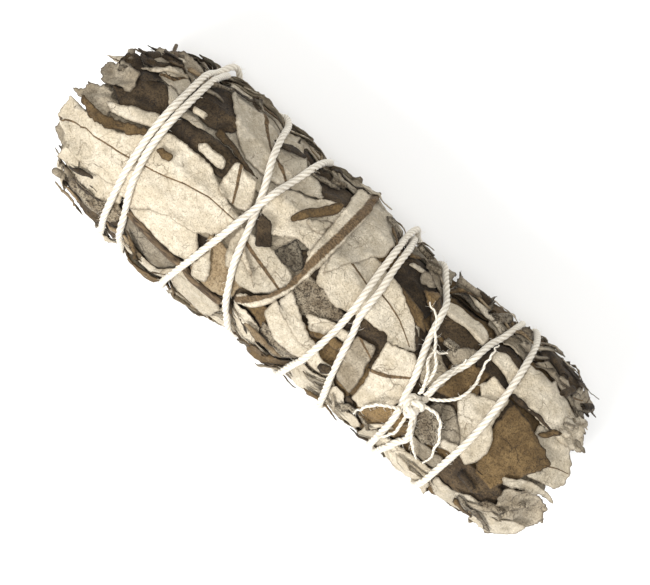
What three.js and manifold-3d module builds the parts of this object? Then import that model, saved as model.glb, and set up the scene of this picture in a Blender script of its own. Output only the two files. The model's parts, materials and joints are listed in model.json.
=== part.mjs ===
// A yerba santa smudge bundle: dried leaves packed around three woody stems and
// bound with one twisted cotton string. It lies along X on the surface z = 0.
// Units are millimetres and +Z is up. A place on the bundle is given as
// [x, turn]: the distance along it, and the angle around it in degrees, with
// 0 on top, 90 on the +Y side, 180 underneath and 270 (or -90) on the -Y side.
import * as THREE from 'three';
import Module from 'manifold-3d';

const AXIS_HEIGHT = 14.0; // the bundle's middle line above the surface it rests on
const LEAF_THICKNESS = 0.5;
const LAYER_PITCH = 0.8; // leaf thickness and the air under it
const TOP_LAYER = 5;
const PACKED_DEPTH = 4.1; // the outer leaves' stack, down to the packed inner leaves
const STRING_RADIUS = 0.55;
const STRING_CLEARANCE = 0.3;
const PLY_RADIUS = 0.26; // one of the four plies, where the string's end is frayed
const CHORD_SAG = 0.16; // how far a flat facet may leave the round surface
const FACET_LENGTH = 5; // longest facet along the bundle

// Distance from the middle line to the outermost leaves, along the bundle.
const GIRTH = [
  [-50, 7], [-47, 10.4], [-44, 12.7], [-40, 14.2], [-34, 15], [-22, 15.3], [-8, 15.3], [2, 14.9],
  [12, 14.1], [20, 13.9], [26, 14.3], [32, 14.9], [40, 14.6], [44, 13.2], [47, 11], [50, 7.4],
];

const COLOURS = {
  pale: 0xcdc3b0,
  grey: 0xa59b8b,
  brown: 0x7b6549,
  dark: 0x463b31,
  stem: 0x5a4431,
  string: 0xe8e2d5,
};

// Every outer leaf: its name, its colour, the layer it lies in (5 is on top) and its outline.
const OUTER_LEAVES = [
  // Left end, seen from above
  ['leaf_long_midrib', 'pale', 4, [[-47.5, -15], [-43, -11.5], [-38, -8], [-35.5, -1], [-34, 8], [-31, 12],
    [-24, 12], [-19, 3], [-14.6, -2], [-15.5, -14], [-19.5, -23], [-24, -25], [-27, -31], [-29.5, -39.5],
    [-33, -34], [-38, -37], [-44, -39], [-47.4, -40]]],
  ['leaf_lobe_left', 'pale', 3, [[-43, -38], [-36, -30], [-31.5, -34], [-31, -43], [-33, -46.5], [-36, -49],
    [-39.5, -53], [-43.5, -58.5]]],
  ['leaf_rolled_left', 'brown', 2, [[-42.5, -60], [-40.5, -53.5], [-37, -48], [-31.5, -43], [-29, -50],
    [-31, -59], [-36, -63]]],
  ['leaf_dark_lower_left', 'dark', 1, [[-41.5, -64], [-38, -57], [-32, -52], [-28.5, -56], [-28.5, -88],
    [-34, -97], [-42, -88]]],
  ['leaf_papery_strip', 'brown', 5, [[-45.5, -4], [-41, -5], [-38, -1], [-34.5, 5], [-33, 3], [-36, -4.5],
    [-40, -11], [-42.5, -12.5], [-45, -8]]],
  ['leaf_pale_strip_left', 'pale', 5, [[-42.2, 3], [-38.5, 9.5], [-34.5, 15.5], [-31.8, 15], [-33.5, 8],
    [-37.5, 2.5], [-40.5, -1]]],
  ['leaf_frayed_end_left', 'grey', 3, [[-47, 6], [-44, 13], [-42, 11], [-40.5, 4], [-40.5, -8], [-45, -10],
    [-48, -7], [-46, -1]]],
  ['leaf_dark_left', 'dark', 2, [[-43, 14], [-40, 6], [-33, 8], [-31, 20], [-34, 30], [-37, 34.5],
    [-40.5, 33], [-41, 22]]],
  ['leaf_curled_left', 'grey', 4, [[-46.2, 38], [-43.5, 32], [-40.5, 28], [-40, 17], [-44.5, 13.5],
    [-46.6, 22]]],
  ['leaf_upper_left', 'grey', 3, [[-42.3, 70], [-38, 76], [-33.5, 74], [-31, 60], [-34, 50], [-38.5, 52],
    [-42, 53]]],
  ['leaf_dark_triangle', 'dark', 2, [[-33, 66], [-29, 66], [-24.5, 45], [-24.5, 37], [-28, 29], [-33, 34]]],
  // Left half, between the end turns and the crossed turns
  ['leaf_wide_midrib', 'pale', 4, [[-31.5, 92], [-29.3, 64], [-25.5, 41], [-21, 28.5], [-15, 29], [-12, 34.5],
    [-8, 38.5], [-10, 48], [-13, 55], [-15.5, 62], [-16.8, 75], [-17.5, 92]]],
  ['leaf_upper_middle', 'grey', 3, [[-18, 98], [-16, 70], [-14, 62.5], [-6, 63], [-3.5, 66], [-4, 98]]],
  ['leaf_dark_upper', 'dark', 2, [[-16, 66], [-13, 50], [-8, 37], [-3, 42], [-3, 66]]],
  ['leaf_folded_square', 'pale', 5, [[-21.4, 12], [-21.2, 22], [-17, 22.3], [-15.2, 8], [-15.5, 4], [-18, 2.5],
    [-20.8, 3]]],
  ['leaf_cracked', 'pale', 3, [[-14.5, 30], [-9, 38], [-5, 44], [-3, 40], [-3, 8], [-7, 11.5], [-10.5, 3],
    [-13.8, 9], [-15, 20]]],
  ['leaf_short_midrib', 'pale', 3, [[-14.5, -3], [-10, -2], [-4.5, -6], [-3.3, -12], [-4.8, -22], [-7, -30],
    [-9.5, -32], [-13, -27], [-14.8, -15]]],
  ['leaf_olive', 'brown', 2, [[-17.5, -18], [-11.5, -20], [-9, -28], [-9.5, -48], [-17, -47]]],
  ['leaf_beside_stem', 'pale', 3, [[-29.5, -38], [-24.5, -23], [-19.5, -21], [-17.5, -32], [-16.8, -44],
    [-20, -43.5], [-25, -41.5], [-29.8, -41.5]]],
  ['leaf_under_stem', 'pale', 3, [[-18.5, -50], [-10.8, -52.5], [-9.5, -60], [-10, -74], [-14, -80],
    [-18.5, -74]]],
  ['leaf_lower_left', 'pale', 3, [[-27.5, -64], [-22, -66], [-19.3, -56], [-19.3, -94], [-27.5, -94]]],
  // Middle
  ['leaf_folded_band', 'pale', 5, [[-5.4, 92], [-5, 60], [-4.6, 35], [-4.6, 12], [-3.7, -2], [-4, -12],
    [-5.2, -22], [-7, -31], [-9.3, -38], [-8.5, -43], [-6, -38], [-4.3, -28], [-3, -14], [-2.2, 0],
    [-1.6, 20], [-1.3, 45], [-1.7, 70], [-1.9, 92]]],
  ['leaf_wrapped', 'pale', 4, [[-2.5, 96], [-2.5, 20], [-1, 4], [1, 17], [3, 30], [4.4, 38], [4.6, 60],
    [4.7, 96]]],
  ['leaf_under_pair', 'pale', 3, [[-2, 8], [-1, -1], [3.5, -5], [8, 0], [12, 1.5], [12.5, -2], [16, 2.5],
    [16.9, 5], [14.8, 22], [12, 27], [9, 30.5], [5, 36], [1, 30], [-2, 20]]],
  ['leaf_fan_upper', 'pale', 4, [[-3, -13], [0, -20.5], [2.2, -25], [5, -31], [5.2, -37], [1, -31.5],
    [-3.6, -23.5]]],
  ['leaf_fan_lower', 'pale', 3, [[-4, -23], [1, -28], [5.5, -34], [9, -37], [9.5, -43], [4, -46], [-1, -43],
    [-4.3, -33]]],
  ['leaf_brown_square', 'brown', 4, [[8.6, -11], [12, -8], [12.6, -20], [13.2, -30], [13.4, -46],
    [10.5, -44], [9.3, -36], [8.8, -27]]],
  ['leaf_square_cut', 'pale', 5, [[12.6, -1.5], [15, 0.5], [17, 3.5], [18.2, 0], [19.4, -14], [20.3, -28],
    [18, -36], [16, -46], [14, -47], [13.8, -30], [13.2, -18]]],
  ['leaf_lower_middle', 'pale', 3, [[3.8, -56], [5, -49.5], [10, -48], [11.3, -54], [11.8, -92], [2.5, -92]]],
  ['leaf_lower_right', 'pale', 4, [[10.8, -53], [12.8, -50.5], [13.5, -55.5], [17, -62], [18, -70],
    [18, -96], [11, -96]]],
  // Right half
  ['leaf_strip_upper', 'pale', 4, [[15.8, 50.5], [22, 50.5], [24.6, 45], [24, 34.5], [20, 35.5],
    [16.4, 35.5]]],
  ['leaf_crumpled_upper', 'brown', 4, [[15.8, 56], [21.8, 57], [22, 75], [21, 95], [15, 95], [15.8, 75]]],
  ['leaf_dark_knot', 'dark', 3, [[23.3, -15], [25.5, -14], [27.3, -22], [28.2, -31], [27, -36],
    [24.3, -38.5], [22.8, -30]]],
  ['leaf_under_knot', 'pale', 4, [[20.5, -60], [24, -56], [26.5, -51], [30.5, -49.5], [31, -60], [30, -72],
    [25.5, -73], [21.5, -66]]],
  ['leaf_under_turn', 'pale', 4, [[26, -3], [26.5, 6], [30.5, 12.5], [32.3, 10], [32.3, 0], [33.8, -6],
    [34.5, -15], [34, -24], [33, -29.5], [31.3, -27], [30.5, -20], [27.5, -9]]],
  ['leaf_short_right', 'pale', 4, [[26.2, 30.5], [26.2, 38], [28, 40], [31, 36], [31.1, 25.5], [28.5, 28.5]]],
  ['leaf_papery_right', 'brown', 3, [[33, 18.5], [36, 15.5], [38.5, 12], [41.5, 8], [43, 3.5], [41.5, -8],
    [40.5, -16], [38.5, -31], [35, -29], [33.5, -20], [32.5, -5], [32.8, 5]]],
  ['leaf_round_end', 'pale', 2, [[38, 20], [41, 26], [44, 22], [45.7, 18], [46.7, 10], [47, 0], [46.2, -9.5],
    [42, -12], [39, -10], [38, 5]]],
  ['leaf_flaked', 'pale', 4, [[31.7, 48], [37, 47.5], [41, 45], [44.5, 42], [45, 36], [46, 30], [45, 26],
    [43.5, 20], [38, 20], [34, 21], [31.7, 23.5]]],
  ['leaf_dark_upper_right', 'dark', 2, [[31.8, 66], [34.5, 48], [39, 50], [41, 66], [40, 92], [33, 92]]],
  ['leaf_strap_right', 'grey', 4, [[39.3, 51], [41.5, 50], [43.5, 62], [44.3, 75], [44, 92], [41, 92],
    [41.5, 75], [40, 62]]],
  ['leaf_lower_right_end', 'pale', 4, [[31.5, -49.5], [34, -49], [36.3, -54.5], [38.6, -56.5], [38.8, -64],
    [37, -74], [33.5, -72], [31.5, -66]]],
  ['leaf_curled_right_end', 'grey', 3, [[40.4, -24], [44, -20.5], [47, -24], [48, -40], [48.2, -54],
    [46, -66], [42, -70], [40, -60], [41, -42], [40.2, -32]]],
];

// Whole leaves on the hidden side: name, layer, tip and base along the bundle, turn and half width.
const BACK_LEAVES = [
  ['leaf_back_upper', 5, -46, 16, 119.5, 25.5],
  ['leaf_back_upper_right', 5, 18.5, 47, 119.5, 25.5],
  ['leaf_back_lower', 5, -17, 47, 241, 25],
  ['leaf_back_lower_left', 5, -46, -19, 241, 25],
  ['leaf_back_inner', 3, -45, 44, 180, 30],
];

// Leaves that bulge out between the string's turns underneath; the bundle rests on them.
const UNDER_LEAVES = [
  ['leaf_rest_left', 5, [[-20.3, 154], [-11.6, 154], [-10.3, 180], [-8.2, 206], [-17.4, 206], [-19.2, 180]]],
  ['leaf_rest_right', 5, [[32, 150], [43, 156], [44.5, 180], [42, 204], [34, 208], [32.2, 180]]],
];

// The string from the knot, around the bundle and back: [x, turn, lift over another turn].
const STRING_ROUTE = [
  [22.3, -12, 0.2], [22.3, 0, 0], [23, 10, 0], [24, 20, 0], [25, 40, 0], [26.5, 60, 0], [27.7, 90, 0],
  [28.2, 120, 0], [28.6, 150, 0], [29, 180, 0], [29.5, 210, 0], [30.1, 240, 0],
  [30.3, 270, 0], [30.5, 300, 0], [30.9, 330, 0], [31.3, 350, 0], [31.3, 370, 0], [31.1, 390, 0],
  [30.8, 420, 0], [30.4, 450, 0], [29.6, 470, 0], [29.1, 480, 0.6], [28.6, 488, 1.3], [27.9, 500, 1.3],
  [27.3, 509, 1.0], [26.8, 517, 0.4], [26.2, 526, 0], [25.2, 540, 0], [23.3, 570, 0], [21.8, 600, 0],
  [21.2, 630, 0], [20.9, 660, 0], [20.8, 680, 0], [20.5, 690, 0], [19.8, 700, 0], [19.3, 710, 0],
  [18.7, 718, 0], [17.7, 730, 0], [16.8, 745, 0], [15.8, 765, 0], [14.3, 780, 0], [12.8, 800, 0],
  [11.6, 820, 0], [11.2, 850, 0], [11.2, 870, 0], [11.5, 900, 0], [11.8, 930, 0], [12, 960, 0],
  [11.8, 990, 0], [11, 1010, 0], [10, 1030, 0], [8.9, 1050, 0], [8, 1068, 0], [7.2, 1080, 0], [7.1, 1100, 0],
  [6.7, 1120, 0], [6.6, 1150, 0], [5.9, 1185, 0], [3.6, 1215, 0], [0.8, 1260, 0], [-1.6, 1290, 0],
  [-4.2, 1315, 0], [-5.8, 1345, 0],
  [-6.6, 1365, 0], [-8.2, 1380, 0], [-10.3, 1400, 0], [-12.3, 1420, 0], [-13.8, 1440, 0], [-15.5, 1460, 0],
  [-17.7, 1480, 0], [-18.9, 1500, 0], [-19.8, 1525, 0], [-22.6, 1548, 0], [-26, 1568, 0],
  [-27.4, 1590, 0], [-27.5, 1620, 0], [-27.6, 1650, 0], [-27.7, 1690, 0],
  [-27.9, 1720, 0], [-28.6, 1740, 0], [-30, 1760, 0], [-31.5, 1780, 0], [-32.4, 1800, 0], [-32.4, 1840, 0],
  [-32.3, 1890, 0], [-32.1, 1950, 0], [-31.8, 2010, 0], [-31.5, 2060, 0],
  [-31.5, 2080, 0], [-31.8, 2100, 0], [-32.6, 2125, 0], [-33.6, 2160, 0], [-33.7, 2200, 0], [-33.7, 2235, 0],
  [-33.3, 2250, 0.8], [-32.3, 2261, 1.3], [-31.1, 2270, 1.2], [-29.3, 2283, 0.5], [-27.8, 2293, 1.0],
  [-26.3, 2302, 1.3], [-25, 2311, 1.0], [-23.9, 2322, 0.2], [-22.6, 2340, 0], [-21, 2370, 0], [-19.8, 2405, 0],
  [-19.3, 2440, 0], [-18.7, 2460, 0], [-17.6, 2480, 0], [-16.4, 2500, 0.2], [-15.6, 2513, 1.0],
  [-15, 2523, 1.35], [-14.3, 2536, 1.2], [-13.6, 2548, 0.3], [-12.4, 2570, 0], [-11.4, 2595, 0],
  [-10.9, 2630, 0], [-9, 2670, 0], [-7, 2700, 0], [-4.6, 2728, 0.2], [-3.9, 2736, 1.1], [-3, 2744, 1.3],
  [-2.2, 2751, 1.2], [-1.1, 2760, 0.6], [1, 2775, 0],
  [3, 2792, 0], [4.1, 2820, 0], [4.9, 2840, 0], [5.6, 2860, 0], [5.8, 2880, 0], [5.4, 2905, 0], [5.2, 2938, 0],
  [5.2, 2950, 0.6], [5.5, 2961, 1.2], [6.1, 2972, 1.35], [7.2, 2982, 1.1], [9.2, 2995, 0.7], [10.6, 3004, 1.3],
  [11.9, 3012, 1.2],
  [13.4, 3024, 0], [17, 3060, 0], [19.6, 3090, 0], [20.8, 3106, 0.8], [21.8, 3118, 1.35], [22.5, 3132, 1.2],
  [22.7, 3150, 0.3], [22.7, 3170, 0], [23.4, 3184, 0], [24.2, 3192, 0], [24.3, 3198, 0], [23.6, 3206, 0.1],
  [22.6, 3214, 0.4],
];

// The knot's place and half size, along, around and outwards.
const KNOT = { x: 21.6, turn: -21, size: [1.7, 2.1, 1.35] };

// The two cut ends come out of the knot, each unlaid into its four plies: [x, turn, height above leaves].
const PLY_ROUTES = [
  [[21.2, -14, 1.2], [20.6, 3, 1.9], [18.4, 14, 2.2], [16.2, 25, 2.3], [14, 32, 1.2]],
  [[22.6, -13, 1.2], [25.3, -4, 0.9], [26.6, 7, 0.8], [26.1, 22, 0.9], [25.7, 30, 2.0], [26, 38, 1.9]],
  [[21.4, -12, 1.6], [20.2, -2, 2.4], [18.9, 6, 2.2], [19, 12, 1.4], [20.6, 15, 1.0]],
  [[21.9, -12, 1.7], [22.3, -2, 2.3], [23, 9, 2.2], [23.3, 18, 1.9]],
  [[22.6, -17, 1.2], [25.2, -15.5, 1.0], [27.2, -22, 0.8], [28.2, -33, 0.7], [28.8, -48, 0.6]],
  [[20.6, -29, 1.2], [18.2, -31, 1.9], [16.8, -38, 1.4], [16, -46, 0.9], [15.8, -53, 0.7]],
  [[22.6, -27, 1.2], [24.4, -35, 1.9], [26.2, -42, 1.6], [27.4, -48, 0.8]],
  [[21.8, -28, 1.6], [22.1, -38, 2.2], [21.4, -46, 2.3], [20.9, -52, 2.1]],
];

const STEMS = [
  { name: 'stem_lower', radius: 1.15, y: 0, z: -1.6, from: -46, to: 45, bow: 0.3 },
  { name: 'stem_left', radius: 1.05, y: 1.5, z: 0.9, from: -44, to: 46, bow: -0.25 },
  { name: 'stem_right', radius: 1.1, y: -1.5, z: 0.9, from: -46.5, to: 43, bow: 0.25 },
];
const SIDE_STEM = { radius: 0.5, depth: 0.55, route: [[-29.3, -43.6], [-24, -44.6], [-17, -48.6], [-10.2, -51.6]] };

// Packed inner leaves: rings shrinking towards the stems, each ring made of curved leaves.
const PACKED_RINGS = [
  { outer: 1.0, inner: 0.86, from: -44, to: 44, starts: [10, 190] },
  { outer: 0.82, inner: 0.68, from: -45, to: 43, starts: [100, 280] },
  { outer: 0.64, inner: 0.42, from: -43, to: 45, starts: [55] },
];
const PACKED_GAP = 3; // degrees between two leaves of one ring
const PACKED_STEP = 24; // degrees across one facet of a packed leaf
const PACKED_STATIONS = [-40, -34, -22, -8, 2, 12, 20, 26, 32, 40]; // where the girth bends

const wasm = await Module();
wasm.setup();

const group = new THREE.Group();

function girthAt(x) {
  const last = GIRTH.length - 1;
  if (x <= GIRTH[0][0]) return GIRTH[0][1];
  for (let i = 1; i <= last; i += 1) {
    const [x0, r0] = GIRTH[i - 1];
    const [x1, r1] = GIRTH[i];
    if (x <= x1) return THREE.MathUtils.mapLinear(x, x0, x1, r0, r1);
  }
  return GIRTH[last][1];
}

// A point at a distance from the middle line; the underside is pressed flat where the girth reaches it.
function place(x, turn, radius) {
  const angle = THREE.MathUtils.degToRad(turn);
  const flat = Math.min(1, AXIS_HEIGHT / girthAt(x));
  return new THREE.Vector3(x, radius * Math.sin(angle), AXIS_HEIGHT + radius * Math.max(Math.cos(angle), -flat));
}

function layerRadius(x, layer) {
  return girthAt(x) - LAYER_PITCH * (TOP_LAYER - layer);
}

// The string follows the leaves at a small clearance and never goes below the resting surface.
function placeString(x, turn, lift) {
  const angle = THREE.MathUtils.degToRad(turn);
  const radius = girthAt(x) + STRING_CLEARANCE + STRING_RADIUS + lift;
  const height = AXIS_HEIGHT + radius * Math.cos(angle);
  return new THREE.Vector3(x, radius * Math.sin(angle), Math.max(height, STRING_RADIUS + 0.05));
}

function addPart(name, colour, geometry) {
  const material = new THREE.MeshStandardMaterial({ color: COLOURS[colour], roughness: 0.9, metalness: 0 });
  const mesh = new THREE.Mesh(geometry, material);
  mesh.name = name;
  group.add(mesh);
}

// Split every triangle edge that is too long, until the facets follow the round surface.
function subdivide(points, triangles, tooLong) {
  let current = triangles;
  let changed = true;
  while (changed) {
    changed = false;
    const middles = new Map();
    const middleOf = (a, b) => {
      if (!tooLong(points[a], points[b])) return -1;
      const key = Math.min(a, b) + '_' + Math.max(a, b);
      if (!middles.has(key)) {
        points.push([(points[a][0] + points[b][0]) / 2, (points[a][1] + points[b][1]) / 2]);
        middles.set(key, points.length - 1);
      }
      return middles.get(key);
    };
    const next = [];
    for (const [a, b, c] of current) {
      const corners = [a, b, c];
      const mids = [middleOf(a, b), middleOf(b, c), middleOf(c, a)];
      const splits = mids.filter((m) => m >= 0).length;
      if (splits === 0) {
        next.push(corners);
        continue;
      }
      changed = true;
      if (splits === 3) {
        next.push([a, mids[0], mids[2]], [mids[0], b, mids[1]], [mids[2], mids[1], c], mids);
        continue;
      }
      // Turn the triangle so that its first edge is split and, with two splits, the second as well.
      let first = mids.findIndex((m, i) => m >= 0 && (splits === 1 || mids[(i + 1) % 3] >= 0));
      const [p, q, r] = [0, 1, 2].map((i) => corners[(first + i) % 3]);
      const pq = mids[first];
      if (splits === 1) {
        next.push([p, pq, r], [pq, q, r]);
      } else {
        const qr = mids[(first + 1) % 3];
        next.push([pq, q, qr], [p, pq, qr], [p, qr, r]);
      }
    }
    current = next;
  }
  return current;
}

// Close a sheet of [x, turn] points and triangles into a plate between two radii given along x.
function curvedPlate(points, triangles, outerRadius, innerRadius) {
  const count = points.length;
  const positions = [];
  for (const radiusAt of [outerRadius, innerRadius]) {
    for (const [x, turn] of points) positions.push(...place(x, turn, radiusAt(x)).toArray());
  }
  const index = [];
  const edges = new Set();
  for (const [a, b, c] of triangles) {
    for (const [from, to] of [[a, b], [b, c], [c, a]]) edges.add(from + '_' + to);
  }
  for (const [a, b, c] of triangles) {
    index.push(a, b, c);
    index.push(a + count, c + count, b + count);
    for (const [from, to] of [[a, b], [b, c], [c, a]]) {
      if (edges.has(to + '_' + from)) continue;
      index.push(from, from + count, to + count, from, to + count, to);
    }
  }
  const geometry = new THREE.BufferGeometry();
  geometry.setAttribute('position', new THREE.Float32BufferAttribute(positions, 3));
  geometry.setIndex(index);
  geometry.computeVertexNormals();
  return geometry;
}

function outerLeaf(outline, layer) {
  const points = outline.map((p) => [p[0], p[1]]);
  if (THREE.ShapeUtils.isClockWise(points.map(([x, y]) => ({ x, y })))) points.reverse();
  const contour = points.map(([x, turn]) => new THREE.Vector2(x, turn));
  const outer = (x) => layerRadius(x, layer);
  const maxTurn = 2 * THREE.MathUtils.radToDeg(Math.acos(1 - CHORD_SAG / outer(points[0][0])));
  const tooLong = (a, b) => Math.hypot((a[0] - b[0]) / FACET_LENGTH, (a[1] - b[1]) / maxTurn) > 1;
  const triangles = subdivide(points, THREE.ShapeUtils.triangulateShape(contour, []), tooLong);
  return curvedPlate(points, triangles, outer, (x) => outer(x) - LEAF_THICKNESS);
}

// A whole leaf, pointed at the tip and rounded at its base.
function lanceolate(tip, base, turn, halfWidth) {
  const steps = 7;
  const upper = [];
  const lower = [];
  for (let i = 1; i < steps; i += 1) {
    const t = i / steps;
    const width = halfWidth * Math.pow(Math.sin(Math.PI * t), 0.6);
    const x = THREE.MathUtils.lerp(tip, base, t);
    upper.push([x, turn + width]);
    lower.unshift([x, turn - width]);
  }
  return [[tip, turn], ...upper, [base, turn], ...lower];
}

function packedLeaf(ring, start) {
  const span = 360 / ring.starts.length - PACKED_GAP;
  const rows = Math.ceil(span / PACKED_STEP);
  const stations = [ring.from, ...PACKED_STATIONS, ring.to];
  const points = [];
  for (const x of stations) {
    for (let row = 0; row <= rows; row += 1) points.push([x, start + (span * row) / rows]);
  }
  const triangles = [];
  for (let column = 0; column < stations.length - 1; column += 1) {
    for (let row = 0; row < rows; row += 1) {
      const near = column * (rows + 1) + row;
      const far = near + rows + 1;
      triangles.push([near, far, far + 1], [near, far + 1, near + 1]);
    }
  }
  const core = (x) => girthAt(x) - PACKED_DEPTH;
  return curvedPlate(points, triangles, (x) => ring.outer * core(x), (x) => ring.inner * core(x));
}

// A round rod or string along a curve, closed at both ends.
function rod(curve, radius, sides, steps) {
  const section = new THREE.Shape();
  for (let i = 0; i < sides; i += 1) {
    const angle = (2 * Math.PI * i) / sides;
    const point = [radius * Math.cos(angle), radius * Math.sin(angle)];
    if (i === 0) section.moveTo(...point);
    else section.lineTo(...point);
  }
  section.closePath();
  return new THREE.ExtrudeGeometry(section, { steps, bevelEnabled: false, extrudePath: curve });
}

function stem({ radius, y, z, from, to, bow }) {
  const points = [];
  for (const t of [0, 0.35, 0.7, 1]) {
    const x = THREE.MathUtils.lerp(from, to, t);
    const shift = bow * Math.sin(Math.PI * t);
    points.push(new THREE.Vector3(x, y + shift, AXIS_HEIGHT + z));
  }
  return rod(new THREE.CatmullRomCurve3(points), radius, 9, 12);
}

function toManifold(geometry) {
  const position = geometry.getAttribute('position');
  const index = geometry.getIndex();
  const count = index ? index.count : position.count;
  const triVerts = new Uint32Array(count);
  for (let i = 0; i < count; i += 1) triVerts[i] = index ? index.getX(i) : i;
  const mesh = new wasm.Mesh({ numProp: 3, vertProperties: new Float32Array(position.array), triVerts });
  mesh.merge();
  return new wasm.Manifold(mesh);
}

function fromManifold(solid) {
  const mesh = solid.getMesh();
  const geometry = new THREE.BufferGeometry();
  geometry.setAttribute('position', new THREE.BufferAttribute(mesh.vertProperties, 3));
  geometry.setIndex(new THREE.BufferAttribute(mesh.triVerts, 1));
  geometry.computeVertexNormals();
  return geometry;
}

// The route is smoothed in x, turn and lift, then laid on the leaves.
function stringCurve() {
  const flat = new THREE.CatmullRomCurve3(STRING_ROUTE.map(([x, turn, lift]) => new THREE.Vector3(x, turn, lift)));
  flat.curveType = 'centripetal';
  const points = [];
  const fine = STRING_ROUTE.length * 5;
  for (let i = 0; i <= fine; i += 1) {
    const { x, y, z } = flat.getPoint(i / fine);
    points.push(placeString(x, y, z));
  }
  return new THREE.CatmullRomCurve3(points);
}

function knot() {
  const [along, around, outwards] = KNOT.size;
  const geometry = new THREE.SphereGeometry(1, 14, 10);
  geometry.scale(along, around, outwards);
  geometry.rotateX(-THREE.MathUtils.degToRad(KNOT.turn));
  const centre = place(KNOT.x, KNOT.turn, girthAt(KNOT.x) + STRING_CLEARANCE + outwards);
  geometry.translate(centre.x, centre.y, centre.z);
  return geometry;
}

function ply(route) {
  const height = (x, rise) => girthAt(x) + rise;
  const points = route.map(([x, turn, rise]) => place(x, turn, height(x, rise)));
  return rod(new THREE.CatmullRomCurve3(points), PLY_RADIUS, 5, 12);
}

function bindingString() {
  const curve = stringCurve();
  curve.arcLengthDivisions = 4000;
  const turns = rod(curve, STRING_RADIUS, 7, 400);
  let solid = toManifold(turns).add(toManifold(knot()));
  for (const route of PLY_ROUTES) solid = solid.add(toManifold(ply(route)));
  return fromManifold(solid);
}

function sideStem() {
  const points = SIDE_STEM.route.map(([x, turn]) => place(x, turn, girthAt(x) - SIDE_STEM.depth));
  return rod(new THREE.CatmullRomCurve3(points), SIDE_STEM.radius, 8, 8);
}

for (const item of STEMS) addPart(item.name, 'stem', stem(item));
addPart('stem_side', 'stem', sideStem());
for (const [ringNumber, ring] of PACKED_RINGS.entries()) {
  for (const [leafNumber, start] of ring.starts.entries()) {
    addPart(`leaf_packed_${ringNumber + 1}_${leafNumber + 1}`, 'brown', packedLeaf(ring, start));
  }
}
for (const [name, colour, layer, outline] of OUTER_LEAVES) addPart(name, colour, outerLeaf(outline, layer));
for (const [name, layer, tip, base, turn, halfWidth] of BACK_LEAVES) {
  addPart(name, 'grey', outerLeaf(lanceolate(tip, base, turn, halfWidth), layer));
}
for (const [name, layer, outline] of UNDER_LEAVES) addPart(name, 'pale', outerLeaf(outline, layer));
addPart('binding_string', 'string', bindingString());

export default group;
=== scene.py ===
"""Yerba santa smudge bundle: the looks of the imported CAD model.

The CAD leaves give each leaf's outline and its order in the stack. Here every leaf is rebuilt as a thin
crumpled sheet that lies on the leaves under it, and the string is pressed into them.
Inside this script lengths are millimetres and a place on the bundle is (x, turn), with turn in degrees:
0 on top, 90 on the +Y side. Objects are made in metres.
"""
import json
import math

import bpy
import numpy as np
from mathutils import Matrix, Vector
from mathutils.geometry import delaunay_2d_cdt


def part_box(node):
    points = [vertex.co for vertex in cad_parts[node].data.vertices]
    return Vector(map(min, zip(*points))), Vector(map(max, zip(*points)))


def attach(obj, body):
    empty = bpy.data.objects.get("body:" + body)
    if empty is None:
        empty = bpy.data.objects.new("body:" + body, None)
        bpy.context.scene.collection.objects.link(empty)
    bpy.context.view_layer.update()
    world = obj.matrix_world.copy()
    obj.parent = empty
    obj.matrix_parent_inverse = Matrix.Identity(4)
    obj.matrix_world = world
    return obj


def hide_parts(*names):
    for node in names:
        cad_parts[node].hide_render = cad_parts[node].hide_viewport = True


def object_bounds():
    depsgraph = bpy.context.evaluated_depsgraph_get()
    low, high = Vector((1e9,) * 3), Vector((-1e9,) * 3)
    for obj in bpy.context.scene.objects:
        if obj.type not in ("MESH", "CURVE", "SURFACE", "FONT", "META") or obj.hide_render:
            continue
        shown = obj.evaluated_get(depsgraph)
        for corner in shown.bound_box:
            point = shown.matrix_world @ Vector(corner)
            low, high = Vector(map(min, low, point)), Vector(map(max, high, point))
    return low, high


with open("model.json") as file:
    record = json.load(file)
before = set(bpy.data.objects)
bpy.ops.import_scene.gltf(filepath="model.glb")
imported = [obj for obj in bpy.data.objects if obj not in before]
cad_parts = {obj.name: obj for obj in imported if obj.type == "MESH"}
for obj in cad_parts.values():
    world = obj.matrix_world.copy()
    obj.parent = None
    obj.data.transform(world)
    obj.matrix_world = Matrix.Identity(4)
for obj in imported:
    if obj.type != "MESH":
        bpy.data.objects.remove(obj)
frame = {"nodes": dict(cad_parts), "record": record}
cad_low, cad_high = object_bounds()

MM = 0.001
AXIS = 14.0  # height of the bundle's middle line, as in the CAD
PACKED_DEPTH = 4.1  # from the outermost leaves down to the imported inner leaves, as in the CAD
CORE_DEPTH = 2.6  # from the girth down to the crumpled filling that shows in the gaps
ARC = 15.0 * math.pi / 180  # millimetres along the surface for one degree of turn
SHEET = 0.28  # thickness of a dried leaf
AIR = 0.1  # air between two leaves
STRING_RADIUS = 0.56
UNDER_SQUEEZE = 1.2  # depth over which the leaves of the underside are pressed thinner
UNDER_FADE = 0.2  # how gradually that pressing sets in round the underside
TURN_STEP = 1.5  # grid of the height map, in degrees and millimetres
X_STEP = 0.4


# ---------------------------------------------------------------- the bundle's shape

def node_points(name):
    """A CAD node's corners, each once, and its triangles, in millimetres."""
    mesh = frame["nodes"][name].data
    co = np.empty(len(mesh.vertices) * 3)
    mesh.vertices.foreach_get("co", co)
    mesh.calc_loop_triangles()
    tris = np.empty(len(mesh.loop_triangles) * 3, dtype=np.int64)
    mesh.loop_triangles.foreach_get("vertices", tris)
    corners = np.round(co.reshape(-1, 3) / MM, 3)
    _, first, same = np.unique(corners, axis=0, return_index=True, return_inverse=True)
    return co.reshape(-1, 3)[first] / MM, same.ravel()[tris].reshape(-1, 3)


def polar(points):
    """x, turn and distance from the middle line."""
    y = points[:, 1]
    z = points[:, 2] - AXIS
    return points[:, 0], np.degrees(np.arctan2(y, z)), np.hypot(y, z)


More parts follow.
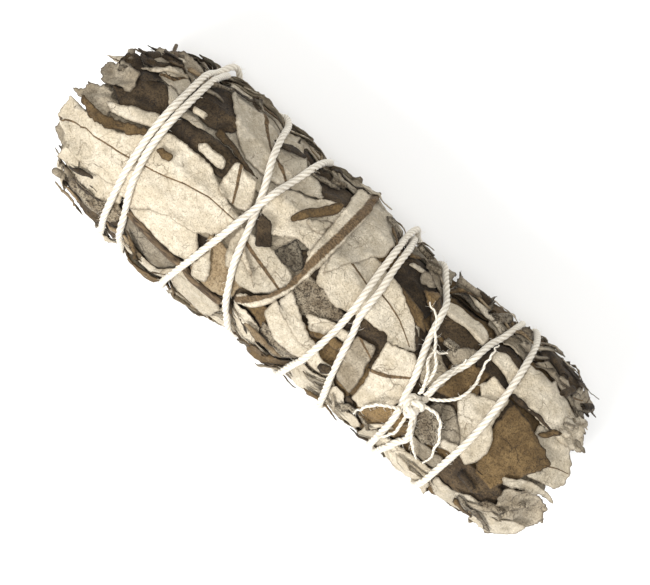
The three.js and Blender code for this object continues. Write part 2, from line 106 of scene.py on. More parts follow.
def measure_girth():
    """Distance from the middle line to the outermost leaves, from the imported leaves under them."""
    points, _ = node_points("leaf_packed_1_1")
    x, turn, radius = polar(points)
    stations = np.unique(np.round(x, 1))
    on_top = [radius[(abs(x - s) < 0.3) & (abs(turn) < 150)].max() for s in stations]
    return stations, np.array(on_top) + PACKED_DEPTH


GIRTH_X, GIRTH_R = measure_girth()
END_SLOPE = 1.05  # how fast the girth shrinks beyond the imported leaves


def girth(x):
    x = np.asarray(x, dtype=float)
    inside = np.interp(x, GIRTH_X, GIRTH_R)
    over = np.maximum(0, GIRTH_X[0] - x) + np.maximum(0, x - GIRTH_X[-1])
    return inside - END_SLOPE * over


def place(x, turn, radius):
    """Millimetre positions, with the underside pressed flat and its leaves thinner there."""
    angle = np.radians(turn)
    widest = girth(x)
    flat = np.minimum(1, AXIS / widest)
    under = np.clip((-np.cos(angle) - flat + UNDER_FADE) / UNDER_FADE, 0, 1)
    over = radius - (widest - UNDER_SQUEEZE)
    squeezed = widest - UNDER_SQUEEZE * np.exp(-np.maximum(over, 0) / UNDER_SQUEEZE)
    radius = np.where(over > 0, radius + (squeezed - radius) * under, radius)
    z = AXIS + radius * np.maximum(np.cos(angle), -flat)
    return np.stack([x, radius * np.sin(angle), np.maximum(z, 0.02)], axis=-1)


def unpressed(points):
    """x, turn and radius as they were before the underside was pressed flat."""
    x, turn, radius = polar(points)
    y = points[:, 1]
    pressed = (AXIS - points[:, 2]) * girth(x) / AXIS
    flat = pressed > radius + 0.01
    radius = np.maximum(pressed, radius)
    below = -np.sqrt(np.maximum(radius ** 2 - y ** 2, 0))
    return x, np.where(flat, np.degrees(np.arctan2(y, below)), turn), radius


def wrap(turn):
    return (np.asarray(turn) + 180.0) % 360.0 - 180.0


def waves(a, b, length, seed, count=7):
    """Smooth random waves over the surface, about -1 to 1; length is their size in millimetres."""
    rng = np.random.default_rng(seed)
    total = np.zeros(np.broadcast(a, b).shape)
    for _ in range(count):
        angle = rng.uniform(0, 2 * math.pi)
        k = 2 * math.pi / (length * rng.uniform(0.65, 1.6))
        total += np.sin(k * (a * math.cos(angle) + b * math.sin(angle)) + rng.uniform(0, 2 * math.pi))
    return total / math.sqrt(count) / 1.4


# ---------------------------------------------------------------- the stack of leaves as a height map

GRID_X = np.arange(-54, 54.01, X_STEP)
GRID_T = np.arange(-180, 180, TURN_STEP)
MAP_X, MAP_T = np.meshgrid(GRID_X, GRID_T, indexing="ij")
MAP_V = MAP_T * ARC
top_of_stack = girth(MAP_X) - CORE_DEPTH + 0.25 * waves(MAP_X, MAP_V, 7, 1)


def blur(field, size):
    """Gaussian blur, with size in millimetres."""
    fx = np.fft.fftfreq(field.shape[0], X_STEP)
    ft = np.fft.fftfreq(field.shape[1], TURN_STEP * ARC)
    gain = np.exp(-2 * (math.pi * size) ** 2 * (fx[:, None] ** 2 + ft[None, :] ** 2))
    return np.fft.ifft2(np.fft.fft2(field) * gain).real


def sample(field, x, turn):
    """Bilinear value of a map at places on the surface."""
    a = np.clip((x - GRID_X[0]) / X_STEP, 0, len(GRID_X) - 1.001)
    b = (wrap(turn) + 180.0) / TURN_STEP
    i = a.astype(int)
    j = np.floor(b).astype(int) % len(GRID_T)
    j1 = (j + 1) % len(GRID_T)
    fa = a - i
    fb = b - np.floor(b)
    near = field[i, j] * (1 - fb) + field[i, j1] * fb
    far = field[i + 1, j] * (1 - fb) + field[i + 1, j1] * fb
    return near * (1 - fa) + far * fa


def inside(px, pv, poly):
    """Even-odd test of points against a closed outline."""
    hit = np.zeros(px.shape, dtype=bool)
    ax, av = poly[:, 0], poly[:, 1]
    bx, bv = np.roll(ax, -1), np.roll(av, -1)
    for x0, v0, x1, v1 in zip(ax, av, bx, bv):
        if v0 == v1:
            continue
        crosses = (v0 > pv) != (v1 > pv)
        hit ^= crosses & (px < (x1 - x0) * (pv - v0) / (v1 - v0) + x0)
    return hit


def line_distance(px, pv, line, closed):
    """Distance from points to a line, and how far along it the nearest place is (0 to 1)."""
    a = line if closed else line[:-1]
    b = np.roll(line, -1, axis=0) if closed else line[1:]
    best = np.full(px.shape, 1e9)
    along = np.zeros(px.shape)
    total = np.hypot(*(b - a).T).sum()
    run = 0.0
    for p, q in zip(a, b):
        d = q - p
        size = float(np.hypot(*d))
        t = np.clip(((px - p[0]) * d[0] + (pv - p[1]) * d[1]) / max(size * size, 1e-9), 0, 1)
        far = np.hypot(px - p[0] - t * d[0], pv - p[1] - t * d[1])
        closer = far < best
        best = np.where(closer, far, best)
        along = np.where(closer, (run + t * size) / total, along)
        run += size
    return best, along


# ---------------------------------------------------------------- the camera

CAMERA_HEIGHT = 280.0  # above the bundle's middle line
CAMERA_TURN = 39.5  # the bundle lies across the picture at this slant

camera_data = bpy.data.cameras.new("camera")
camera_data.lens = 100
camera_data.sensor_width = 36
camera = bpy.data.objects.new("camera", camera_data)
middle = (cad_low[0] + cad_high[0]) / 2
camera.location = (middle + 0.87 * MM, -0.66 * MM, (AXIS + CAMERA_HEIGHT) * MM)
camera.rotation_euler = (0, 0, math.radians(CAMERA_TURN))
bpy.context.scene.collection.objects.link(camera)
bpy.context.scene.camera = camera


# ---------------------------------------------------------------- the string's route

# One string from the knot, round the bundle and back: (x, total turn, lift over the leaves), as in the CAD.
STRING_ROUTE = [
    (22.3, -12, 0.2), (22.3, 0, 0), (23, 10, 0), (24, 20, 0), (25, 40, 0), (26.5, 60, 0), (27.7, 90, 0),
    (28.2, 120, 0), (28.6, 150, 0), (29, 180, 0), (29.5, 210, 0), (30.1, 240, 0),
    (30.3, 270, 0), (30.5, 300, 0), (30.9, 330, 0), (31.3, 350, 0), (31.3, 370, 0), (31.1, 390, 0),
    (30.8, 420, 0), (30.4, 450, 0), (29.6, 470, 0), (29.1, 480, 0.6), (28.6, 488, 1.3), (27.9, 500, 1.3),
    (27.3, 509, 1.0), (26.8, 517, 0.4), (26.2, 526, 0), (25.2, 540, 0), (23.3, 570, 0), (21.8, 600, 0),
    (21.2, 630, 0), (20.9, 660, 0), (20.8, 680, 0), (20.5, 690, 0), (19.8, 700, 0), (19.3, 710, 0),
    (18.7, 718, 0), (17.7, 730, 0), (16.8, 745, 0), (15.8, 765, 0), (14.3, 780, 0), (12.8, 800, 0),
    (11.6, 820, 0), (11.2, 850, 0), (11.2, 870, 0), (11.5, 900, 0), (11.8, 930, 0), (12, 960, 0),
    (11.8, 990, 0), (11, 1010, 0), (10, 1030, 0), (8.9, 1050, 0), (8, 1068, 0), (7.2, 1080, 0), (7.1, 1100, 0),
    (6.7, 1120, 0), (6.6, 1150, 0), (5.9, 1185, 0), (3.6, 1215, 0), (0.8, 1260, 0), (-1.6, 1290, 0),
    (-4.2, 1315, 0), (-5.8, 1345, 0),
    (-6.6, 1365, 0), (-8.2, 1380, 0), (-10.3, 1400, 0), (-12.3, 1420, 0), (-13.8, 1440, 0), (-15.5, 1460, 0),
    (-17.7, 1480, 0), (-18.9, 1500, 0), (-19.8, 1525, 0), (-22.6, 1548, 0), (-26, 1568, 0),
    (-27.4, 1590, 0), (-27.5, 1620, 0), (-27.6, 1650, 0), (-27.7, 1690, 0),
    (-27.9, 1720, 0), (-28.6, 1740, 0), (-30, 1760, 0), (-31.5, 1780, 0), (-32.4, 1800, 0), (-32.4, 1840, 0),
    (-32.3, 1890, 0), (-32.1, 1950, 0), (-31.8, 2010, 0), (-31.5, 2060, 0),
    (-31.5, 2080, 0), (-31.8, 2100, 0), (-32.6, 2125, 0), (-33.6, 2160, 0), (-33.7, 2200, 0), (-33.7, 2235, 0),
    (-33.3, 2250, 0.8), (-32.3, 2261, 1.3), (-31.1, 2270, 1.2), (-29.3, 2283, 0.5), (-27.8, 2293, 1.0),
    (-26.3, 2302, 1.3), (-25, 2311, 1.0), (-23.9, 2322, 0.2), (-22.6, 2340, 0), (-21, 2370, 0), (-19.8, 2405, 0),
    (-19.3, 2440, 0), (-18.7, 2460, 0), (-17.6, 2480, 0), (-16.4, 2500, 0.2), (-15.6, 2513, 1.0),
    (-15, 2523, 1.35), (-14.3, 2536, 1.2), (-13.6, 2548, 0.3), (-12.4, 2570, 0), (-11.4, 2595, 0),
    (-10.9, 2630, 0), (-9, 2670, 0), (-7, 2700, 0), (-4.6, 2728, 0.2), (-3.9, 2736, 1.1), (-3, 2744, 1.3),
    (-2.2, 2751, 1.2), (-1.1, 2760, 0.6), (1, 2775, 0),
    (3, 2792, 0), (4.1, 2820, 0), (4.9, 2840, 0), (5.6, 2860, 0), (5.8, 2880, 0), (5.4, 2905, 0), (5.2, 2938, 0),
    (5.2, 2950, 0.6), (5.5, 2961, 1.2), (6.1, 2972, 1.35), (7.2, 2982, 1.1), (9.2, 2995, 0.7), (10.6, 3004, 1.3),
    (11.9, 3012, 1.2),
    (13.4, 3024, 0), (17, 3060, 0), (19.6, 3090, 0), (20.8, 3106, 0.8), (21.8, 3118, 1.35), (22.5, 3132, 1.2),
    (22.7, 3150, 0.3), (22.7, 3170, 0), (23.4, 3184, 0), (24.2, 3192, 0), (24.3, 3198, 0), (23.6, 3206, 0.1),
    (22.6, 3214, 0.4),
]

# The two cut ends, unlaid into four plies each: (x, turn, height above the leaves), as in the CAD.
PLY_ROUTES = [
    [(21.2, -14, 1.2), (20.6, 3, 1.9), (18.4, 14, 2.2), (16.2, 25, 2.3), (14, 32, 1.2)],
    [(22.6, -13, 1.2), (25.3, -4, 0.9), (26.6, 7, 0.8), (26.1, 22, 0.9), (25.7, 30, 2.0), (26, 38, 1.9)],
    [(21.4, -12, 1.6), (20.2, -2, 2.4), (18.9, 6, 2.2), (19, 12, 1.4), (20.6, 15, 1.0)],
    [(21.9, -12, 1.7), (22.3, -2, 2.3), (23, 9, 2.2), (23.3, 18, 1.9)],
    [(22.6, -17, 1.2), (25.2, -15.5, 1.0), (27.2, -22, 0.8), (28.2, -33, 0.7), (28.8, -48, 0.6)],
    [(20.6, -29, 1.2), (18.2, -31, 1.9), (16.8, -38, 1.4), (16, -46, 0.9), (15.8, -53, 0.7)],
    [(22.6, -27, 1.2), (24.4, -35, 1.9), (26.2, -42, 1.6), (27.4, -48, 0.8)],
    [(21.8, -28, 1.6), (22.1, -38, 2.2), (21.4, -46, 2.3), (20.9, -52, 2.1)],
]
KNOT_X = 21.6
KNOT_TURN = -21.0


def smooth_curve(points, steps):
    """Catmull-Rom curve through points, with steps samples for each stretch."""
    p = np.asarray(points, dtype=float)
    p = np.vstack([2 * p[0] - p[1], p, 2 * p[-1] - p[-2]])
    t = np.linspace(0, 1, steps, endpoint=False)[:, None]
    parts = []
    for a, b, c, d in zip(p[:-3], p[1:-2], p[2:-1], p[3:]):
        parts.append(0.5 * (2 * b + (c - a) * t + (2 * a - 5 * b + 4 * c - d) * t ** 2
                            + (3 * b - a - 3 * c + d) * t ** 3))
    return np.vstack(parts + [p[-2:-1]])


ROUTE = smooth_curve(STRING_ROUTE, 24)
STRING_NEAR = np.zeros(MAP_X.shape)  # 1 under the string, fading to 0 beside it
PRESS_WIDTH = 1.5
for px, pt in ROUTE[::3, :2]:
    rows = abs(GRID_X - px) < 4
    dv = wrap(MAP_T[rows] - pt) * ARC
    near_string = np.exp(-((MAP_X[rows] - px) ** 2 + dv ** 2) / PRESS_WIDTH ** 2)
    STRING_NEAR[rows] = np.maximum(STRING_NEAR[rows], near_string)
PRESS_UNDER = 1.35  # how deep the string lies in the leaves of the underside, and elsewhere
PRESS_ABOVE = 0.5
PRESS = STRING_NEAR * np.where(abs(MAP_T) > 130, PRESS_UNDER, PRESS_ABOVE)


# ---------------------------------------------------------------- meshes

def make_object(name, points, faces, material, values=None):
    """A mesh object from millimetre points. values are per-corner numbers that the material reads."""
    mesh = bpy.data.meshes.new(name)
    mesh.from_pydata((np.asarray(points) * MM).tolist(), [], faces)
    mesh.validate()
    mesh.shade_smooth()
    for key, numbers in (values or {}).items():
        layer = mesh.attributes.new(key, "FLOAT", "POINT")
        layer.data.foreach_set("value", np.asarray(numbers, dtype=np.float32))
    mesh.materials.append(material)
    mesh.update()
    obj = bpy.data.objects.new(name, mesh)
    bpy.context.scene.collection.objects.link(obj)
    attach(obj, "root")
    return obj


def resample(line, step, closed):
    ends = np.vstack([line, line[:1]]) if closed else line
    run = np.concatenate([[0], np.cumsum(np.hypot(*np.diff(ends, axis=0).T))])
    count = max(8, int(run[-1] / step))
    at = np.linspace(0, run[-1], count, endpoint=not closed)
    return np.stack([np.interp(at, run, ends[:, 0]), np.interp(at, run, ends[:, 1])], axis=1)


def rounded(line, amount):
    """Soften an outline's corners."""
    for _ in range(amount):
        line = 0.25 * np.roll(line, 1, axis=0) + 0.5 * line + 0.25 * np.roll(line, -1, axis=0)
    return line


VEIN_FULL = 0.24  # a rib narrower than this is a fine vein, and shows less


def side_veins(line, reach, gap, width=0.1):
    """Fine veins that leave a rib on both sides."""
    rib = resample(np.asarray(line, dtype=float) * (1, ARC), gap, False)
    ahead = np.gradient(rib, axis=0)
    ahead /= np.hypot(*ahead.T)[:, None]
    veins = []
    for number, (start, way) in enumerate(zip(rib[1:-1], ahead[1:-1])):
        side = 1 if number % 2 else -1
        out = np.array([-way[1], way[0]]) * side
        end = start + reach * (0.75 * out + 0.6 * way)
        bend = (start + end) / 2 + 0.12 * reach * out
        veins.append(([tuple(p / (1, ARC)) for p in (start, bend, end)], width, 0.05))
    return veins


def leaf(name, outline, material, seed, slot, grid=0.42, rag=0.13, curl=0.25, curl_width=1.4, crumple=0.16,
         ribs=(), lift=0.0, tone=0.0, replaces=()):
    """A dried leaf on top of the stack. outline is (x, turn) points and ribs are (points, width, height)."""
    global top_of_stack
    rng = np.random.default_rng(seed)
    poly = np.asarray(outline, dtype=float) * (1, ARC)
    edge = rounded(resample(poly, 0.3, True), 2)
    ahead = np.roll(edge, -1, axis=0) - np.roll(edge, 1, axis=0)
    normal = np.stack([ahead[:, 1], -ahead[:, 0]], axis=1) / (np.hypot(*ahead.T)[:, None] + 1e-9)
    torn = rag * (waves(edge[:, 0], edge[:, 1], 2.6, seed) + 0.6 * waves(edge[:, 0], edge[:, 1], 0.9, seed + 1))
    edge = edge + normal * torn[:, None]

    # Where it lies on the stack: it bridges small hollows and never cuts what is under it.
    mask = inside(MAP_X, MAP_V, edge)
    for turned in (-360 * ARC, 360 * ARC):
        mask |= inside(MAP_X, MAP_V + turned, edge)
    wide = blur(mask.astype(float), 0.8)
    held = np.where(mask, top_of_stack, blur(top_of_stack * mask, 1.5) / np.maximum(blur(mask * 1.0, 1.5), 1e-3))
    bed = np.maximum(blur(np.maximum(held, blur(held, 1.2)), 0.8), np.where(wide > 0.02, top_of_stack, 0) + 0.02)
    bed = bed + AIR
    sheet = SHEET * (1 + 0.3 * rng.uniform(-1, 1))

    low = edge.min(0)
    high = edge.max(0)
    rows = np.arange(low[1], high[1], grid * 0.866)
    gx, gv = np.meshgrid(np.arange(low[0], high[0], grid), rows, indexing="ij")
    gx = gx + (np.arange(gx.shape[1]) % 2)[None, :] * grid / 2
    gx = gx.ravel() + rng.uniform(-0.1, 0.1, gx.size) * grid
    gv = gv.ravel() + rng.uniform(-0.1, 0.1, gv.size) * grid
    keep = inside(gx, gv, edge)
    gx, gv = gx[keep], gv[keep]
    margin, _ = line_distance(gx, gv, edge, True)
    keep = margin > grid * 0.45
    extra = []
    for line, width, _ in ribs:
        line = np.asarray(line, dtype=float) * (1, ARC)
        away, _ = line_distance(gx, gv, line, False)
        keep &= away > 1.45 * width + 0.1
        fine = resample(line, 0.3, False)
        ahead = np.gradient(fine, axis=0)
        across = np.stack([-ahead[:, 1], ahead[:, 0]], axis=1) / (np.hypot(*ahead.T)[:, None] + 1e-9)
        for offset in (-1.3, -0.6, 0.0, 0.6, 1.3):
            row = fine + across * offset * width
            margin, _ = line_distance(row[:, 0], row[:, 1], edge, True)
            extra.append(row[inside(row[:, 0], row[:, 1], edge) & (margin > 0.12)])
    flat = np.vstack([edge, np.stack([gx[keep], gv[keep]], axis=1)] + extra)
    loop = list(range(len(edge)))
    out, _, tris, *_ = delaunay_2d_cdt([Vector(p) for p in flat], [], [loop], 1, 1e-5)
    u = np.array([p.x for p in out])
    v = np.array([p.y for p in out])
    tris = np.array(tris)
    area = (u[tris[:, 1]] - u[tris[:, 0]]) * (v[tris[:, 2]] - v[tris[:, 0]])
    area -= (u[tris[:, 2]] - u[tris[:, 0]]) * (v[tris[:, 1]] - v[tris[:, 0]])
    tris[area < 0] = tris[area < 0][:, ::-1]
    turn = v / ARC
    rim, _ = line_distance(u, v, edge, True)

    # Crumples, curled rims and ribs.
    fold = waves(u, v, 5.5, seed + 2)
    small = waves(u, v, 1.8, seed + 3)
    height = crumple * (0.8 * fold + 0.9) + 0.3 * crumple * (1 - 2 * abs(small))
    side = 0.5 + 0.5 * waves(u, v, 9, seed + 4)
    near_rim = np.clip(1 - rim / curl_width, 0, 1)
    height = height + curl * np.clip(side, 0, 1.2) * near_rim ** 2
    rib_value = np.zeros(len(u))
    for line, width, raised in ribs:
        points = np.asarray(line, dtype=float) * (1, ARC)
        far, along = line_distance(u, v, points, False)
        thin = width * (1 - 0.3 * along)
        profile = np.exp(-((far / thin) ** 2) * 1.6) * min(1.0, width / VEIN_FULL)
        height = height + raised * profile
        rib_value = np.maximum(rib_value, np.clip(profile * 1.25, 0, 1))
    pressed = sample(STRING_NEAR, u, turn)
    bottom = sample(bed, u, turn) + lift + height * (1 - 0.8 * pressed) - sample(PRESS, u, turn)
    thick = sheet * (0.4 + 0.6 * np.clip(rim / 0.5, 0, 1))
    top = bottom + thick
    count = len(u)
    points = np.vstack([place(u, turn, top), place(u, turn, bottom)])
    faces = [tuple(t) for t in tris.tolist()]
    under = (tris[:, ::-1] + count).tolist()
    faces += [tuple(t) for t in under]
    seen = {(a, b) for t in tris.tolist() for a, b in zip(t, t[1:] + t[:1])}
    for a, b in seen:
        if (b, a) not in seen:
            faces.append((a, a + count, b + count, b))
    # rim is the distance to the leaf's edge; the material paints shade along the edge from it.
    values = {
        "rim": np.tile(np.clip(rim / 2.0, 0, 1), 2),
        "rib": np.tile(rib_value, 2),
        "tone": np.full(2 * count, tone + 0.12 * rng.uniform(-1, 1)),
    }
    obj = make_object(name, points, faces, material, values=values)
    if replaces:
        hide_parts(*replaces)

    raised = crumple * 1.3 + lift
    top_of_stack = np.where(mask, np.maximum(top_of_stack, bed + raised + sheet), top_of_stack)


def cad_outline(name):
    """A CAD leaf's outline, from the open edge of its outer face, and how deep in the stack it lies."""
    points, tris = node_points(name)
    x, turn, radius = unpressed(points)
    depth = girth(x) - radius
    apart = abs(x[:, None] - x) + abs(turn[:, None] - turn) * ARC
    np.fill_diagonal(apart, np.inf)
    partner = apart.argmin(axis=1)
    on_outer = radius > radius[partner]
    outer = tris[on_outer[tris].all(axis=1)]
    edges = {}
    for t in outer.tolist():
        for a, b in zip(t, t[1:] + t[:1]):
            edges[(a, b)] = True
    after = {a: b for a, b in edges if (b, a) not in edges}
    loop = []
    while after:
        start = next(iter(after))
        found = [start]
        following = after.pop(start)
        while following != start and following in after:
            found.append(following)
            following = after.pop(following)
        if len(found) > len(loop):
            loop = found
    turn = np.degrees(np.unwrap(np.radians(turn[loop])))
    return np.stack([x[loop], turn], axis=1), float(np.median(depth[loop]))


# ---------------------------------------------------------------- materials

def material(name):
    mat = bpy.data.materials.new(name)
    mat.use_nodes = True
    return mat, mat.node_tree, mat.node_tree.nodes["Principled BSDF"]


class Nodes:
    """Short calls for building a node tree."""

    def __init__(self, tree):
        self.tree = tree

    def new(self, kind, **settings):
        node = self.tree.nodes.new(kind)
        for key, value in settings.items():
            setattr(node, key, value)
        return node

    def link(self, value, socket):
        if isinstance(value, bpy.types.NodeSocket):
            self.tree.links.new(value, socket)
        else:
            socket.default_value = value

    def math(self, operation, a, b=0.0, c=0.0):
        node = self.new("ShaderNodeMath", operation=operation)
        for value, socket in zip((a, b, c), node.inputs):
            self.link(value, socket)
        return node.outputs[0]

    def mix(self, factor, a, b):
        node = self.new("ShaderNodeMix", data_type="RGBA")
        self.link(factor, node.inputs[0])
        self.link(a, node.inputs[6])
        self.link(b, node.inputs[7])
        return node.outputs[2]

    def span(self, value, low, high, to_low=0.0, to_high=1.0):
        node = self.new("ShaderNodeMapRange", interpolation_type="SMOOTHSTEP")
        for number, socket in zip((value, low, high, to_low, to_high), node.inputs):
            self.link(number, socket)
        return node.outputs[0]

    def millimetres(self):
        coords = self.new("ShaderNodeTexCoord")
        scale = self.new("ShaderNodeVectorMath", operation="SCALE")
        self.tree.links.new(coords.outputs["Object"], scale.inputs[0])
        scale.inputs["Scale"].default_value = 1 / MM
        return scale.outputs[0]

    def noise(self, vector, size, detail=4.0, rough=0.6, stretch=None, distortion=0.0):
        if stretch:
            mapped = self.new("ShaderNodeMapping")
            self.tree.links.new(vector, mapped.inputs[0])
            mapped.inputs["Scale"].default_value = stretch
            vector = mapped.outputs[0]
        node = self.new("ShaderNodeTexNoise")
        self.tree.links.new(vector, node.inputs["Vector"])
        node.inputs["Scale"].default_value = 1.0 / size
        node.inputs["Detail"].default_value = detail
        node.inputs["Roughness"].default_value = rough
        node.inputs["Distortion"].default_value = distortion
        return node.outputs["Fac"]

    def cracks(self, vector, size, warp=0.5):
        """Distance to the nearest line of a net of cells, 0 on the line."""
        noise = self.new("ShaderNodeTexNoise")
        self.tree.links.new(vector, noise.inputs["Vector"])
        noise.inputs["Scale"].default_value = 1.6 / size
        noise.inputs["Detail"].default_value = 3
        shift = self.new("ShaderNodeVectorMath", operation="MULTIPLY_ADD")
        self.tree.links.new(noise.outputs["Color"], shift.inputs[0])
        shift.inputs[1].default_value = (warp * size,) * 3
        self.tree.links.new(vector, shift.inputs[2])
        cells = self.new("ShaderNodeTexVoronoi", feature="DISTANCE_TO_EDGE")
        self.tree.links.new(shift.outputs[0], cells.inputs["Vector"])
        cells.inputs["Scale"].default_value = 1.0 / size
        return cells.outputs["Distance"]

    def attribute(self, name):
        node = self.new("ShaderNodeAttribute", attribute_type="GEOMETRY", attribute_name=name)
        return node.outputs["Fac"]

    def bump(self, height, distance, strength, normal=None):
        node = self.new("ShaderNodeBump")
        node.inputs["Strength"].default_value = strength
        node.inputs["Distance"].default_value = distance * MM
        self.link(height, node.inputs["Height"])
        if normal:
            self.tree.links.new(normal, node.inputs["Normal"])
        return node.outputs[0]


def srgb(r, g, b):
    """A display colour, 0 to 255, as the linear colour that a shader takes."""
    linear = [(c / 255 / 12.92) if c <= 10 else ((c / 255 + 0.055) / 1.055) ** 2.4 for c in (r, g, b)]
    return (*linear, 1.0)


def leaf_material(name, light, mid, dark, rib, felt, crack, speckle, rim_dark):
    """Dried leaf: mottled felt over fine veins, thin dark cracks and brown ribs, with darker rims that are partly the
    leaf's darker side showing and partly painted shade along the edge.
    """
    mat, tree, shader = material(name)
    n = Nodes(tree)
    mm = n.millimetres()
    mottle = n.noise(mm, 3.2, 5, 0.62)
    cloud = n.noise(mm, 9.0, 3, 0.5)
    felted = n.noise(mm, 0.34, 4, 0.7)
    tone = n.attribute("tone")
    base = n.mix(n.span(mottle, 0.34, 0.66), mid, light)
    base = n.mix(n.math("MULTIPLY", n.span(cloud, 0.46, 0.66), 0.55), base, mid)
    base = n.mix(n.math("MULTIPLY", n.span(felted, 0.49, 0.6), felt), base, dark)
    specks = n.noise(mm, 0.22, 2, 0.5)
    base = n.mix(n.math("MULTIPLY", n.span(specks, 0.57, 0.64), speckle), base, dark)
    net = n.cracks(mm, 2.6, 0.9)
    fine_net = n.cracks(mm, 0.75, 0.5)
    where = n.span(n.noise(mm, 5.0, 2, 0.5), 0.5, 0.62)
    line = n.math("MULTIPLY", n.span(net, 0.0, 0.042, 1.0, 0.0), where)
    fine = n.math("MULTIPLY", n.span(fine_net, 0.0, 0.06, 1.0, 0.0), 0.3)
    base = n.mix(n.math("MULTIPLY", line, crack), base, dark)
    base = n.mix(n.math("MULTIPLY", fine, crack * 0.55), base, dark)
    rim = n.attribute("rim")
    # Darker rims: partly painted shade along the leaf's edge, partly its darker side showing.
    edge = n.span(n.math("ADD", rim, n.math("MULTIPLY", felted, 0.16)), 0.08, 0.24, 1.0, 0.0)
    base = n.mix(n.math("MULTIPLY", edge, rim_dark), base, dark)
    ribbed = n.attribute("rib")
    fibre = n.noise(mm, 0.5, 4, 0.7)
    rib_mask = n.span(n.math("ADD", ribbed, n.math("MULTIPLY", n.math("SUBTRACT", fibre, 0.5), 0.5)), 0.32, 0.6)
    threads = n.noise(mm, 0.28, 4, 0.7, stretch=(0.45, 1, 1))
    woody = n.mix(n.span(threads, 0.42, 0.6), rib, tuple(min(1.0, 2.1 * c) for c in rib[:3]) + (1.0,))
    base = n.mix(rib_mask, base, woody)
    patches = n.noise(mm, 0.8, 5, 0.68, distortion=0.4)
    veins = n.math("MULTIPLY", n.span(n.cracks(mm, 1.5, 0.8), 0.0, 0.12, 1.0, 0.0), n.span(patches, 0.4, 0.6))
    shade = n.math("MULTIPLY", n.span(patches, 0.42, 0.6, 1.0, 0.0), 0.17)
    shade = n.math("ADD", shade, n.math("MULTIPLY", veins, 0.16))
    shade = n.math("ADD", shade, n.math("MULTIPLY", n.span(felted, 0.4, 0.62, 1.0, 0.0), 0.13))
    bright = n.math("SUBTRACT", n.math("ADD", tone, 1.08), shade)
    level = n.new("ShaderNodeVectorMath", operation="SCALE")
    n.link(base, level.inputs[0])
    n.link(bright, level.inputs["Scale"])
    n.link(level.outputs[0], shader.inputs["Base Color"])
    n.link(n.span(felted, 0.3, 0.7, 0.78, 0.97), shader.inputs["Roughness"])
    shader.inputs["Specular IOR Level"].default_value = 0.22
    shader.inputs["Sheen Weight"].default_value = 0.05
    shader.inputs["Sheen Roughness"].default_value = 0.6
    rough = n.bump(felted, 0.16, 0.9)
    waves_bump = n.bump(patches, 0.4, 0.75, rough)
    hollow = n.math("SUBTRACT", 1.0, n.math("MAXIMUM", n.math("MAXIMUM", line, fine), n.math("MULTIPLY", veins, 0.6)))
    finish = n.bump(hollow, 0.16, 0.7, waves_bump)
    n.link(finish, shader.inputs["Normal"])
    return mat


def stem_material(name, light, dark):
    """Thin bark: long fibres, dark cracks along the stem and paler worn ridges."""
    mat, tree, shader = material(name)
    n = Nodes(tree)
    mm = n.millimetres()
    fibre = n.noise(mm, 0.35, 5, 0.65, stretch=(0.18, 1, 1))
    patch = n.noise(mm, 2.2, 3, 0.5)
    base = n.mix(n.span(fibre, 0.36, 0.64), dark, light)
    base = n.mix(n.math("MULTIPLY", n.span(patch, 0.5, 0.7), 0.5), base, dark)
    n.link(base, shader.inputs["Base Color"])
    n.link(n.span(fibre, 0.3, 0.7, 0.7, 0.95), shader.inputs["Roughness"])
    shader.inputs["Specular IOR Level"].default_value = 0.25
    n.link(n.bump(fibre, 0.18, 0.8), shader.inputs["Normal"])
    return mat


def string_material():
    """Off-white cotton: fine fibres across each ply, soiled in patches, with painted shade in the grooves between the
    plies.
    """
    mat, tree, shader = material("cotton")
    n = Nodes(tree)
    mm = n.millimetres()
    fibre = n.noise(mm, 0.13, 4, 0.7)
    soil = n.noise(mm, 4.0, 3, 0.5)
    groove = n.attribute("groove")
    base = n.mix(n.span(fibre, 0.35, 0.65), srgb(222, 213, 195), srgb(246, 241, 229))
    base = n.mix(n.math("MULTIPLY", n.span(soil, 0.5, 0.7), 0.25), base, srgb(205, 194, 174))
    # Painted shade in the grooves between the plies.
    base = n.mix(n.math("MULTIPLY", groove, 0.75), base, srgb(158, 143, 118))
    n.link(base, shader.inputs["Base Color"])
    n.link(n.span(fibre, 0.3, 0.7, 0.8, 0.98), shader.inputs["Roughness"])
    shader.inputs["Specular IOR Level"].default_value = 0.2
    shader.inputs["Sheen Weight"].default_value = 0.25
    n.link(n.bump(fibre, 0.06, 0.8), shader.inputs["Normal"])
    return mat


RIB = srgb(84, 68, 48)
PALE = leaf_material("pale_leaf", srgb(216, 205, 184), srgb(194, 181, 157),
                     srgb(98, 80, 56), RIB, 0.2, 0.5, 0.35, 0.5)
GREY = leaf_material("grey_leaf", srgb(174, 162, 141), srgb(144, 131, 109),
                     srgb(62, 50, 36), RIB, 0.34, 0.7, 0.45, 0.6)
BROWN = leaf_material("brown_leaf", srgb(124, 101, 66), srgb(94, 74, 45),
                      srgb(48, 35, 20), RIB, 0.5, 0.6, 0.6, 0.6)
TAN = leaf_material("tan_leaf", srgb(176, 158, 128), srgb(142, 121, 90),
                    srgb(70, 53, 33), RIB, 0.5, 0.6, 0.5, 0.55)
# Dark leaves, made darker than their own colour so that the dark scraps in the gaps also stand in for the gaps' shadow:
# partly painted shade.
DARK_AND_GAP_SHADE = leaf_material("dark_leaf", srgb(88, 72, 50), srgb(56, 44, 29),
                     srgb(24, 17, 10), RIB, 0.6, 0.6, 0.7, 0.5)
SPECKLED = leaf_material("speckled_leaf", srgb(166, 154, 132), srgb(104, 90, 70),
                         srgb(42, 32, 22), RIB, 0.9, 0.6, 0.9, 0.5)
STEM = stem_material("stem_bark", srgb(112, 94, 72), srgb(50, 39, 28))
COTTON = string_material()

KINDS = {
    "pale": (PALE, "leaf_pale"),
    "grey": (GREY, "leaf_grey"),
    "brown": (BROWN, "leaf_brown"),
    "tan": (TAN, "leaf_brown"),
    "dark": (DARK_AND_GAP_SHADE, "leaf_dark"),
    "speckled": (SPECKLED, "leaf_grey"),
}


# ---------------------------------------------------------------- the leaves

